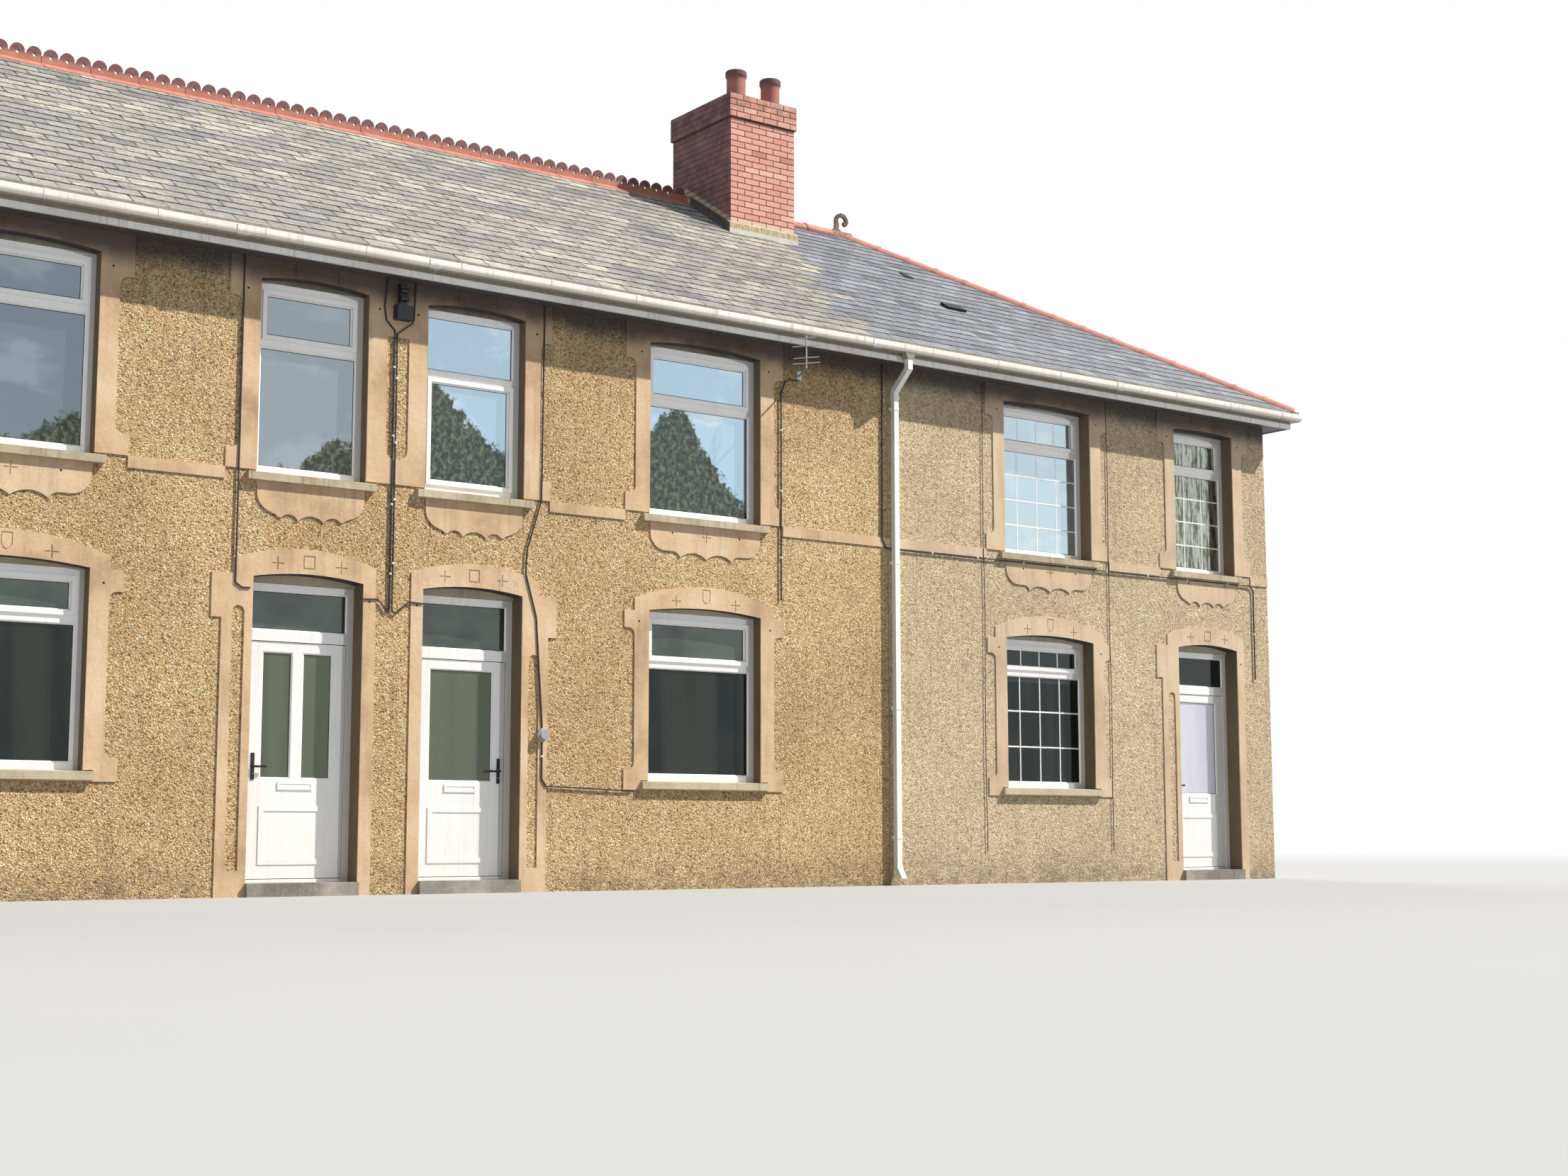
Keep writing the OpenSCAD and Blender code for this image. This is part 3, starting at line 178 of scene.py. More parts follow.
class Web:
    """Adds and joins the nodes of one material or effect."""

    def __init__(self, tree: bpy.types.NodeTree) -> None:
        """Start in an empty tree."""
        self.tree = tree

    @classmethod
    def of(cls, owner: bpy.types.Material | bpy.types.World) -> Web:
        """Return the emptied node tree of a material or a world."""
        owner.use_nodes = True
        owner.node_tree.nodes.clear()
        return cls(owner.node_tree)

    @cached_property
    def place(self) -> Wire:
        """Return the object coordinates."""
        return self.give("TexCoord", give="Object")

    def feed(self, socket: bpy.types.NodeSocket, value: object) -> None:
        """Link a socket, or set its value when a constant is given."""
        if isinstance(value, Wire):
            self.tree.links.new(value.socket, socket)
        else:
            socket.default_value = value

    def add(self, kind: str, inputs: dict | None = None, **settings: object) -> bpy.types.Node:
        """Add a node.

        Args:
            kind: node type without its ShaderNode prefix.
            inputs: what feeds its sockets, by name or number.
            settings: its other properties.

        Returns:
            The node.
        """
        node = self.tree.nodes.new("ShaderNode" + kind)
        count = len(self.tree.nodes)
        node.location = (count % 9 * 190, -(count // 9) * 270)
        for key, value in settings.items():
            setattr(node, key, value)
        for key, value in (inputs or {}).items():
            self.feed(node.inputs[key], value)
        return node

    def give(self, kind: str, inputs: dict | None = None, give: int | str = 0, **settings: object) -> Wire:
        """Add a node and return one of its outputs, by name or number."""
        return Wire(self, self.add(kind, inputs, **settings).outputs[give])

    def calc(self, how: str, a: object, b: object = 0.0) -> Wire:
        """Return an operation on one or two numbers."""
        return self.give("Math", {0: a, 1: b}, operation=how)

    def most(self, a: object, b: object) -> Wire:
        """Return the larger of two numbers."""
        return self.calc("MAXIMUM", a, b)

    def least(self, a: object, b: object) -> Wire:
        """Return the smaller of two numbers."""
        return self.calc("MINIMUM", a, b)

    def fade(self, value: Wire, low: float, high: float) -> Wire:
        """Return a smooth step from 0 at low to 1 at high; low may be the larger."""
        wires = {"Value": value, "From Min": low, "From Max": high}
        return self.give("MapRange", wires, interpolation_type="SMOOTHSTEP")

    def mix(self, amount: object, below: object, above: object, how: str = "MIX") -> Wire:
        """Return two colours mixed."""
        return self.give("Mix", {0: amount, 6: below, 7: above}, 2, data_type="RGBA", blend_type=how)

    def noise(self, where: Wire, scale: float, detail: float = 3.0, rough: float = 0.55) -> Wire:
        """Return cloud noise between 0 and 1."""
        return self.give("TexNoise", {"Vector": where, "Scale": scale, "Detail": detail, "Roughness": rough})

    def grain(self, size: tuple[float, float, float], detail: float, rough: float) -> Wire:
        """Return cloud noise that is drawn out along the axes: a larger number is finer."""
        return self.noise(self.stretch(self.place, *size), 1.0, detail, rough)

    def cells(self, where: Wire, scale: object, give: str = "Distance", feature: str = "F1") -> Wire:
        """Return the distance or the colour of scattered cells."""
        return self.give("TexVoronoi", {"Vector": where, "Scale": scale}, give, feature=feature)

    def vector(self, how: str, a: Wire, b: object) -> Wire:
        """Return an operation on two places."""
        return self.give("VectorMath", {0: a, 1: b}, operation=how)

    def stretch(self, where: Wire, x: float, y: float, z: float) -> Wire:
        """Return coordinates scaled along each axis."""
        return self.vector("MULTIPLY", where, (x, y, z))

    def axes(self, where: Wire | None = None) -> list[Wire]:
        """Return x, y and z of a place or a direction."""
        return [Wire(self, out) for out in self.add("SeparateXYZ", {0: where or self.place}).outputs]

    def ramp(self, value: Wire, stops: Sequence[tuple[float, Colour]], how: str = "LINEAR") -> Wire:
        """Return the colour at a value between the given stops."""
        node = self.add("ValToRGB", {0: value})
        node.color_ramp.interpolation = how
        steps = node.color_ramp.elements
        while len(steps) < len(stops):
            steps.new(0.5)
        for step, (place, colour) in zip(steps, stops):
            step.position = place
            step.color = colour
        return Wire(self, node.outputs[0])

    def mark(self, name: str) -> Wire:
        """Return a number that each copy in a piece carries."""
        return self.give("Attribute", give="Fac", attribute_name=name)

    def facing(self) -> Wire:
        """Return the direction that the surface faces."""
        return self.give("NewGeometry", give="Normal")

    def relief(self, height: Wire, depth: float, under: Wire | None = None) -> Wire:
        """Return the normal of a relief.

        Args:
            height: where it stands up, from 0 to 1.
            depth: how far that is, in metres.
            under: normal of a larger relief that it lies on.

        Returns:
            The normal.
        """
        wires: dict[str, object] = {"Height": height, "Distance": depth, "Strength": 1.0}
        if under is not None:
            wires["Normal"] = under
        return self.give("Bump", wires)


@dataclass(frozen=True)
class Effect:
    """A node group that several finishes share: built once, placed in each with its own values."""

    name: str
    takes: tuple[tuple[str, str], ...]
    gives: tuple[str, ...]
    wire: Callable[[Web, dict[str, Wire]], dict[str, Wire]]

    def tree(self) -> bpy.types.NodeTree:
        """Return the group, which the first call builds."""
        found = bpy.data.node_groups.get(self.name)
        if found:
            return found
        tree = bpy.data.node_groups.new(self.name, "ShaderNodeTree")
        for name, kind in self.takes:
            tree.interface.new_socket(name, in_out="INPUT", socket_type="NodeSocket" + kind)
        for name in self.gives:
            tree.interface.new_socket(name, in_out="OUTPUT", socket_type="NodeSocketFloat")
        web = Web(tree)
        start = tree.nodes.new("NodeGroupInput")
        end = tree.nodes.new("NodeGroupOutput")
        made = self.wire(web, {name: Wire(web, start.outputs[name]) for name, _ in self.takes})
        for name in self.gives:
            web.feed(end.inputs[name], made[name])
        return tree

    def use(self, web: Web, **values: object) -> dict[str, Wire]:
        """Place the group in a material.

        Args:
            web: the material's nodes.
            values: what feeds the group's inputs; its Vector is the object's place if not given.

        Returns:
            The group's outputs by name.
        """
        node = web.tree.nodes.new("ShaderNodeGroup")
        node.node_tree = self.tree()
        node.location = (-400, -len(web.tree.nodes) * 60)
        for key, value in {"Vector": web.place, **values}.items():
            web.feed(node.inputs[key], value)
        return {name: Wire(web, node.outputs[name]) for name in self.gives}


def wire_chips(web: Web, given: dict[str, Wire]) -> dict[str, Wire]:
    """Wire stone chips that are thrown into wet lime.

    Args:
        web: the group's nodes.
        given: its inputs.

    Returns:
        Its outputs.
    """
    scale = 1.0 / given["Size"]
    distance = web.cells(given["Vector"], scale)
    drawn = web.cells(given["Vector"], scale, "Color")
    tone, spread = (web.give("SeparateColor", {0: drawn}, number) for number in (0, 1))
    body = web.fade(distance, 0.62, 0.12)
    return {
        "Tone": tone,
        "Height": body * (0.45 + spread),
        "Gap": web.fade(distance, 0.42, 0.72),
    }


def wire_mottle(web: Web, given: dict[str, Wire]) -> dict[str, Wire]:
    """Wire slow and fine unevenness of colour.

    Args:
        web: the group's nodes.
        given: its inputs.

    Returns:
        Its outputs.
    """
    scaled = web.give("VectorMath", {0: given["Vector"], "Scale": given["Scale"]}, operation="SCALE")
    return {
        "Soft": web.noise(scaled, 1.0, 4.0, 0.6),
        "Fine": web.noise(scaled, 11.0, 5.0, 0.7),
        "Grit": web.noise(scaled, 95.0, 2.0, 0.7),
    }


def wire_rain(web: Web, given: dict[str, Wire]) -> dict[str, Wire]:
    """Wire streaks that run straight down, and patches where they spread.

    Args:
        web: the group's nodes.
        given: its inputs.

    Returns:
        Its outputs.
    """
    narrow = web.noise(web.stretch(given["Vector"], 26.0, 26.0, 0.9), 1.0, 3.0, 0.6)
    broad = web.noise(web.stretch(given["Vector"], 5.0, 5.0, 0.6), 1.0, 4.0, 0.6)
    streak = web.fade(narrow, 0.47, 0.72) * web.fade(broad, 0.4, 0.62)
    return {"Streak": streak, "Patch": web.fade(broad, 0.45, 0.7)}


def wire_lichen(web: Web, given: dict[str, Wire]) -> dict[str, Wire]:
    """Wire crusts of lichen: blots that join where there is more cover.

    Args:
        web: the group's nodes.
        given: its inputs.

    Returns:
        Its outputs.
    """
    drift = web.noise(given["Vector"], 2.3, 4.0, 0.6)
    blots = web.noise(given["Vector"], 34.0, 5.0, 0.72)
    both = drift * 0.08 + blots * 0.92
    lifted = both + (given["Cover"] - 0.5) * 0.42
    return {"Mask": web.fade(lifted, 0.47, 0.57)}


def wire_shade_and_soot(web: Web, given: dict[str, Wire]) -> dict[str, Wire]:
    """Wire painted shade on undersides, and painted shade with some soot on the wall close below the soffit.

    Args:
        web: the group's nodes.
        given: its inputs.

    Returns:
        Its outputs.
    """
    height = web.axes(given["Vector"])[2]
    runs = web.noise(web.stretch(given["Vector"], 3.0, 3.0, 1.4), 1.0, 4.0, 0.6)
    ragged = (runs - 0.5) * 0.2
    return {
        "Under": web.fade(web.axes(given["Normal"])[2], -0.35, -0.75),
        "Top": web.fade(height + ragged, ROW.soffit_z - 0.32, ROW.soffit_z - 0.08),
    }


def wire_house(web: Web, given: dict[str, Wire]) -> dict[str, Wire]:
    """Wire a place in its house: u, distance from the ridge line, height, and the last house.

    Args:
        web: the group's nodes.
        given: its inputs.

    Returns:
        Its outputs.
    """
    x, y, z = web.axes(given["Vector"])
    return {
        "U": web.calc("PINGPONG", x, ROW.house_w),
        "Depth": abs(y),
        "Height": z,
        "Right": web.fade(x, ROW.house_w - 0.006, ROW.house_w + 0.006),
    }


def wire_within(web: Web, given: dict[str, Wire]) -> dict[str, Wire]:
    """Wire a mask that is 1 inside a box between two corners.

    Args:
        web: the group's nodes.
        given: its inputs.

    Returns:
        Its outputs.
    """
    over = web.axes(web.vector("SUBTRACT", given["Vector"], given["Low"]))
    under = web.axes(web.vector("SUBTRACT", given["High"], given["Vector"]))
    least: object = 1.0
    for gap in over + under:
        least = web.least(least, gap)
    return {"Mask": web.calc("GREATER_THAN", least, 0.0)}


PLACE = ("Vector", "Vector")
CHIPS = Effect("stone_chips", (PLACE, ("Size", "Float")), ("Tone", "Height", "Gap"), wire_chips)
MOTTLE = Effect("uneven_colour", (PLACE, ("Scale", "Float")), ("Soft", "Fine", "Grit"), wire_mottle)
RAIN = Effect("rain_marks", (PLACE,), ("Streak", "Patch"), wire_rain)
SHADE_AND_SOOT = Effect("shade_and_soot_faces", (PLACE, ("Normal", "Vector")), ("Under", "Top"), wire_shade_and_soot)
LICHEN = Effect("lichen", (PLACE, ("Cover", "Float")), ("Mask",), wire_lichen)
HOUSE = Effect("place_in_house", (PLACE,), ("U", "Depth", "Height", "Right"), wire_house)
WITHIN = Effect("inside_box", (PLACE, ("Low", "Vector"), ("High", "Vector")), ("Mask",), wire_within)


# Finishes

MADE: dict[str, bpy.types.Material] = {}


@dataclass
class Skin:
    """What a finish hands to its shader: wires for what varies, and numbers for what doesn't."""

    colour: object
    roughness: object = 0.8
    normal: Wire | None = None
    fixed: dict[str, float] = field(default_factory=dict)


@dataclass(frozen=True)
class Finish:
    """One finish of the row."""

    name: str

    def skin(self, web: Web) -> Skin:
        """Return the finish's own nodes; each finish has its own."""
        raise NotImplementedError

    def material(self) -> bpy.types.Material:
        """Return the material, which the first call builds."""
        if self.name in MADE:
            return MADE[self.name]
        made = bpy.data.materials.new("finish_" + self.name)
        MADE[self.name] = made
        web = Web.of(made)
        skin = self.skin(web)
        wires: dict[str, object] = {"Base Color": skin.colour, "Roughness": skin.roughness, **skin.fixed}
        if skin.normal is not None:
            wires["Normal"] = skin.normal
        web.add("OutputMaterial", {"Surface": web.give("BsdfPrincipled", wires)})
        return made

    def dress_nodes(self, *names: str) -> None:
        """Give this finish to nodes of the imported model."""
        for name in names:
            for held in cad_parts[name].material_slots:
                held.material = self.material()
            log.info("node %s: %s", name, self.name)

    def dress(self, thing: Thing) -> None:
        """Give this finish to a new piece."""
        thing.data.materials.clear()
        thing.data.materials.append(self.material())


@dataclass(frozen=True)
class Roughcast(Finish):
    """Pebble dash: stone chips in tan lime; smooth in the reveals and plastered inside; painted shade darkens
    the reveals and their undersides, and with some soot the wall below the soffit.
    """

    chip: float = 0.0108
    coarser: float = 0.0022
    relief: float = 0.0052
    reveal: float = 0.0014
    room: float = 0.230
    dark: Colour = tint(80, 55, 36)
    brown: Colour = tint(172, 130, 84)
    tan: Colour = tint(238, 204, 150)
    cream: Colour = tint(255, 242, 200)
    lime: Colour = tint(190, 150, 103)
    plaster: Colour = tint(206, 198, 184)
    # soot, and the colour of the painted shade below the soffit and on the reveals' undersides
    soot: Colour = tint(50, 49, 58)

    def skin(self, web: Web) -> Skin:
        """Wire the wall.

        Args:
            web: the material's nodes.

        Returns:
            The finish's skin.
        """
        home = HOUSE.use(web)
        size = self.chip + home["Right"] * self.coarser
        small = CHIPS.use(web, Size=size)
        large = CHIPS.use(web, Size=size * 2.1)
        mottle = MOTTLE.use(web, Scale=0.7)
        rain = RAIN.use(web)
        stops = [(0.0, self.dark), (0.11, self.brown), (0.34, self.tan), (0.62, self.tan), (0.84, self.cream)]
        colour = web.mix(small["Gap"], web.ramp(small["Tone"], stops), self.lime)
        few = web.fade(large["Tone"], 0.9, 0.94) * (1.0 - large["Gap"])
        colour = web.mix(few * 0.55, colour, self.dark)
        pale = web.fade(large["Tone"], 0.16, 0.1) * (1.0 - large["Gap"])
        colour = web.mix(pale * 0.6, colour, self.cream)
        slow = web.ramp(mottle["Soft"], [(0.3, tint(226, 220, 212)), (0.7, tint(255, 255, 255))])
        colour = web.mix(1.0, colour, slow, "MULTIPLY")
        cooler = web.mix(home["Right"], tint(255, 255, 255), tint(250, 253, 255))
        colour = web.mix(1.0, colour, cooler, "MULTIPLY")
        colour = web.mix(home["Right"] * 0.17, colour, tint(240, 238, 220))
        colour = web.mix(rain["Streak"] * 0.28, colour, tint(96, 80, 62))
        foot = web.fade(home["Height"], 0.42, 0.02) * web.fade(mottle["Fine"], 0.3, 0.7)
        colour = web.mix(foot * 0.55, colour, tint(92, 84, 66))
        shade_and_soot = SHADE_AND_SOOT.use(web, Normal=web.facing())
        # painted shade, with some soot, on the wall close below the soffit
        colour = web.mix(shade_and_soot["Top"] * 0.85, colour, self.soot)
        inner = self.behind(web, home["Depth"], ROW.half_d) * self.behind(web, abs(web.axes()[0]), ROW.half_l)
        # painted shade: the reveals' render is darkened
        smooth = web.mix(mottle["Fine"], tint(104, 88, 70), tint(134, 116, 92))
        inside = ROW.half_d - self.room
        room = web.fade(home["Depth"], inside + 0.01, inside - 0.01)
        # painted shade on the reveals' undersides
        smooth = web.mix(shade_and_soot["Under"] * 0.92, smooth, self.soot)
        smooth = web.mix(room, smooth, web.mix(mottle["Fine"], self.plaster, tint(190, 182, 168)))
        colour = web.mix(inner, colour, smooth)
        chips = web.most(small["Height"], large["Height"] * 0.9)
        height = chips * (1.0 - inner * 0.93)
        return Skin(colour, 0.93, web.relief(height, self.relief))

    def behind(self, web: Web, out: Wire, face: float) -> Wire:
        """Return a mask that is 1 behind a wall's outer face."""
        return web.fade(out, face - self.reveal + 0.0002, face - self.reveal - 0.0002)


@dataclass(frozen=True)
class SmoothRender(Finish):
    """Cement render floated smooth, with hair cracks, pores and rain marks, painted shade on undersides, and
    painted shade with some soot below the soffit.
    """

    base: Colour = tint(220, 186, 146)
    pale: Colour = tint(238, 212, 176)
    worn: Colour = tint(180, 146, 112)
    stain: Colour = tint(104, 84, 66)
    sill_foot: float = 3.70
    crown: float = 2.90

    def skin(self, web: Web) -> Skin:
        """Wire the render.

        Args:
            web: the material's nodes.

        Returns:
            The finish's skin.
        """
        mottle = MOTTLE.use(web, Scale=1.3)
        rain = RAIN.use(web)
        home = HOUSE.use(web)
        colour = web.ramp(mottle["Soft"], [(0.28, self.worn), (0.47, self.base), (0.72, self.pale)])
        colour = web.mix(web.fade(mottle["Fine"], 0.5, 0.72) * 0.35, colour, self.pale)
        colour = web.mix(web.fade(mottle["Grit"], 0.5, 0.75) * 0.6, colour, self.worn)
        colour = web.mix(home["Right"] * 0.38, colour, tint(212, 198, 172))
        cracks = web.cells(web.place, 1.7, feature="DISTANCE_TO_EDGE")
        crack = web.fade(cracks, 0.006, 0.001) * web.fade(mottle["Soft"], 0.5, 0.62)
        colour = web.mix(crack * 0.16, colour, self.stain)
        height = home["Height"]
        under_sill = web.fade(height, self.sill_foot - 0.6, self.sill_foot - 0.02)
        under_sill *= web.fade(height, self.sill_foot + 0.05, self.sill_foot)
        over_low = web.fade(height, self.crown - 0.18, self.crown)
        over_low *= web.fade(height, self.crown + 0.2, self.crown)
        wet = web.most(web.most(under_sill, over_low), 0.5)
        colour = web.mix(rain["Streak"] * wet * 0.3, colour, self.stain)
        colour = web.mix(rain["Patch"] * 0.16, colour, self.stain)
        shade_and_soot = SHADE_AND_SOOT.use(web, Normal=web.facing())
        # painted shade on undersides, and painted shade with some soot below the soffit
        dark = web.most(shade_and_soot["Top"] * 0.85, shade_and_soot["Under"] * 0.9)
        colour = web.mix(dark, colour, tint(54, 50, 54))
        pores = web.fade(web.cells(web.place, 70.0), 0.2, 0.05)
        fine = mottle["Grit"] * 0.5 - pores * 0.6 - crack * 0.3
        wavy = web.relief(mottle["Fine"], 0.004)
        return Skin(colour, 0.86, web.relief(fine, 0.0016, wavy))


@dataclass(frozen=True)
class Plaster(Finish):
    """Inside faces of party walls: skimmed plaster over block."""

    base: Colour = tint(206, 198, 184)
    worn: Colour = tint(180, 170, 154)

    def skin(self, web: Web) -> Skin:
        """Wire the plaster.

        Args:
            web: the material's nodes.

        Returns:
            The finish's skin.
        """
        mottle = MOTTLE.use(web, Scale=0.8)
        colour = web.ramp(mottle["Soft"], [(0.3, self.worn), (0.65, self.base)])
        colour = web.mix(mottle["Fine"] * 0.2, colour, self.worn)
        return Skin(colour, 0.85, web.relief(mottle["Fine"], 0.002))


@dataclass(frozen=True)
class Concrete(Finish):
    """Cast concrete: sand and small stones show, rain marks its edges, and pale lichen crusts it."""

    base: Colour = tint(206, 190, 160)
    dark: Colour = tint(168, 152, 124)
    stain: Colour = tint(96, 88, 74)
    stone: float = 0.006

    def skin(self, web: Web) -> Skin:
        """Wire the concrete.

        Args:
            web: the material's nodes.

        Returns:
            The finish's skin.
        """
        mottle = MOTTLE.use(web, Scale=2.2)
        grains = CHIPS.use(web, Size=self.stone)
        lichen = LICHEN.use(web, Cover=0.35)
        rain = RAIN.use(web)
        colour = web.ramp(mottle["Soft"], [(0.3, self.dark), (0.55, self.base), (0.8, tint(222, 209, 182))])
        speck = web.fade(grains["Tone"], 0.7, 0.95) * 0.3
        colour = web.mix(speck, colour, self.dark)
        colour = web.mix(lichen["Mask"] * 0.3, colour, tint(206, 200, 176))
        colour = web.mix(rain["Streak"] * 0.5, colour, self.stain)
        height = grains["Height"] * 0.5 + mottle["Fine"]
        return Skin(colour, 0.9, web.relief(height, 0.0025))


@dataclass(frozen=True)
class Slates(Finish):
    """Natural slate: each slate has its own tone, and the older ones carry cream lichen."""

    deep: Colour = tint(68, 72, 80)
    blue: Colour = tint(100, 104, 112)
    grey: Colour = tint(124, 127, 134)
    warm: Colour = tint(132, 126, 116)
    crust: Colour = tint(164, 158, 146)
    bright: Colour = tint(204, 197, 176)

    def skin(self, web: Web) -> Skin:
        """Wire the slates.

        Args:
            web: the material's nodes.

        Returns:
            The finish's skin.
        """
        tone = web.mark("tone")
        age = web.mark("age")
        up = web.mark("up")
        mottle = MOTTLE.use(web, Scale=3.0)
        new_tones = [(0.0, self.deep), (0.12, self.blue), (0.8, self.grey), (1.0, tint(142, 145, 151))]
        old_tones = [(0.0, tint(104, 102, 104)), (0.2, self.warm), (1.0, tint(160, 151, 143))]
        clean = web.ramp(tone, new_tones)
        old = web.ramp(tone, old_tones)
        colour = web.mix(age, clean, old)
        colour = web.mix(mottle["Fine"] * 0.3, colour, self.deep)
        drifts = web.grain((1.5, 2.2, 2.2), 3.0, 0.6)
        patches = age * (drifts - 0.5) * 1.5
        spread = age * 0.66 + tone * 0.12 + patches
        crusts = LICHEN.use(web, Cover=spread)
        colour = web.mix(crusts["Mask"] * 0.6, colour, self.crust)
        fresh = LICHEN.use(web, Vector=web.stretch(web.place, 1.7, 1.7, 1.7), Cover=spread - 0.26)
        colour = web.mix(fresh["Mask"] * 0.7, colour, self.bright)
        # painted shade along each slate's tail and side joints, left off the eaves course and made patchy by
        # a grain
        across = abs(web.mark("across"))
        above = web.fade(web.axes()[2], ROW.edge_z + 0.012, ROW.edge_z + 0.042)
        worn = web.grain((13.0, 9.0, 9.0), 3.0, 0.6)
        patchy = (0.12 + web.fade(worn, 0.34, 0.64) * 0.88) * (0.75 + age * 0.25)
        tail = web.fade(up, 0.105, 0.01) * patchy * above
        sides = web.fade(across, 0.92, 0.965) * patchy
        shade = web.least(web.most(tail, sides), 0.9)
        colour = web.mix(shade, colour, tint(46, 43, 42))
        rifts = web.grain((40.0, 9.0, 9.0), 4.0, 0.6)
        scars = web.fade(rifts, 0.5, 0.64) * 0.2
        colour = web.mix(scars, colour, tint(196, 194, 192))
        chipped = web.grain((6.0, 30.0, 30.0), 3.0, 0.6)
        colour = web.mix(web.fade(chipped, 0.5, 0.62) * 0.5, colour, tint(80, 82, 88))
        height = rifts + crusts["Mask"] * 0.5
        rough = 0.6 + crusts["Mask"] * 0.3
        return Skin(colour, rough, web.relief(height, 0.003))


@dataclass(frozen=True)
class Underlay(Finish):
    """The roof's own boards and felt, under the slates and inside the loft."""

    felt: Colour = tint(66, 63, 60)
    board: Colour = tint(126, 96, 66)
    depth: float = 0.05

    def skin(self, web: Web) -> Skin:
        """Wire the underlay.

        Args:
            web: the material's nodes.

        Returns:
            The finish's skin.
        """
        grain = web.grain((3.0, 34.0, 34.0), 5.0, 0.6)
        colour = web.mix(grain, self.felt, tint(92, 86, 80))
        _, y, z = web.axes()
        loft = web.calc("LESS_THAN", z, ROW.ridge_z - self.depth - abs(y) * ROW.slope)
        colour = web.mix(loft, colour, web.mix(grain, self.board, tint(98, 72, 48)))
        return Skin(colour, 0.9, web.relief(grain, 0.002))


@dataclass(frozen=True)
class Clay(Finish):
    """Fired clay tile: salmon body, soot and moss that darken what faces the sky, and painted shade on faces
    that look sideways or down.
    """

    body: Colour = tint(186, 118, 92)
    pale: Colour = tint(212, 150, 122)
    soot: Colour = tint(74, 64, 60)
    cover: float = 0.5
    dark_from: float = 99.0
    dark_to: float = 100.0
    flank_shade: float = 0.0

    def skin(self, web: Web) -> Skin:
        """Wire the clay.

        Args:
            web: the material's nodes.

        Returns:
            The finish's skin.
        """
        mottle = MOTTLE.use(web, Scale=4.0)
        crusts = LICHEN.use(web, Cover=self.cover)
        colour = web.ramp(mottle["Soft"], [(0.3, self.body), (0.7, self.pale)])
        # painted shade on faces that look sideways or down
        foot = web.fade(web.axes(web.facing())[2], 0.5, 0.15)
        colour = web.mix(foot * self.flank_shade, colour, tint(92, 50, 44))
        colour = web.mix(mottle["Fine"] * 0.35, colour, tint(150, 88, 66))
        top = web.fade(web.axes()[2], self.dark_from, self.dark_to)
        dirt = top * (0.55 + mottle["Fine"] * 0.6)
        colour = web.mix(web.least(dirt, 1.0), colour, self.soot)
        colour = web.mix(crusts["Mask"] * 0.55, colour, tint(176, 168, 148))
        patch = web.fade(mottle["Fine"], 0.55, 0.7) * 0.4
        colour = web.mix(patch, colour, self.soot)
        height = mottle["Grit"] + crusts["Mask"] * 0.8
        return Skin(colour, 0.8, web.relief(height, 0.0022))


@dataclass(frozen=True)
class Brick(Finish):
    """Wire-cut brick, one tone each, with a limewashed foot and a sooty head; painted shade darkens the faces
    that look along x, and a thin line under the cap.
    """

    soot: Colour = tint(96, 74, 64)
    cap_z: float = 9.400
    lime_up: float = 0.190

    def skin(self, web: Web) -> Skin:
        """Wire the brick.

        Args:
            web: the material's nodes.

        Returns:
            The finish's skin.
        """
        tone = web.mark("tone")
        mottle = MOTTLE.use(web, Scale=6.0)
        stops = [
            (0.0, tint(206, 140, 120)),
            (0.06, tint(228, 162, 142)),
            (0.5, tint(236, 172, 152)),
            (0.9, tint(240, 180, 160)),
            (1.0, tint(246, 194, 174)),
        ]
        colour = web.ramp(tone, stops)
        colour = web.mix(web.fade(mottle["Fine"], 0.45, 0.7) * 0.3, colour, tint(190, 120, 96))
        colour = web.mix(web.fade(mottle["Grit"], 0.6, 0.8) * 0.3, colour, tint(140, 92, 76))
        _, y, z = web.axes()
        # painted shade on the faces that look along x
        facing = abs(web.axes(web.facing())[0])
        sides = web.fade(facing, 0.4, 0.7) * (0.35 + mottle["Soft"])
        colour = web.mix(sides * 0.85, colour, tint(66, 60, 86))
        head = web.fade(z, self.cap_z - 0.2, self.cap_z + 0.3) * web.fade(mottle["Soft"], 0.35, 0.65)
        colour = web.mix(head * 0.5, colour, self.soot)
        # painted shadow in a thin line just under the cap
        line = web.fade(z, self.cap_z - 0.03, self.cap_z - 0.004)
        line *= web.fade(z, self.cap_z + 0.0015, self.cap_z)
        colour = web.mix(line * 0.85, colour, tint(58, 34, 32))
        limed_to = ROW.ridge_z + self.lime_up
        wash = web.fade(z + abs(y) * ROW.slope, limed_to + 0.02, limed_to - 0.02)
        wash *= web.fade(mottle["Fine"], 0.3, 0.5)
        colour = web.mix(wash * 0.85, colour, tint(226, 212, 184))
        height = mottle["Grit"] + mottle["Fine"]
        return Skin(colour, 0.88, web.relief(height, 0.002))


@dataclass(frozen=True)
class Mortar(Finish):
    """Cement and sand, in the joints of the stacks or in the fillets round their feet."""

    base: Colour = tint(150, 132, 112)
    dark: Colour = tint(104, 90, 78)
    cover: float = 0.3

    def skin(self, web: Web) -> Skin:
        """Wire the mortar.

        Args:
            web: the material's nodes.

        Returns:
            The finish's skin.
        """
        mottle = MOTTLE.use(web, Scale=5.0)
        crusts = LICHEN.use(web, Cover=self.cover)
        colour = web.ramp(mottle["Soft"], [(0.3, self.dark), (0.65, self.base)])
        colour = web.mix(crusts["Mask"] * 0.4, colour, tint(200, 192, 170))
        colour = web.mix(mottle["Grit"] * 0.3, colour, self.dark)
        return Skin(colour, 0.92, web.relief(mottle["Grit"] + mottle["Fine"], 0.004))


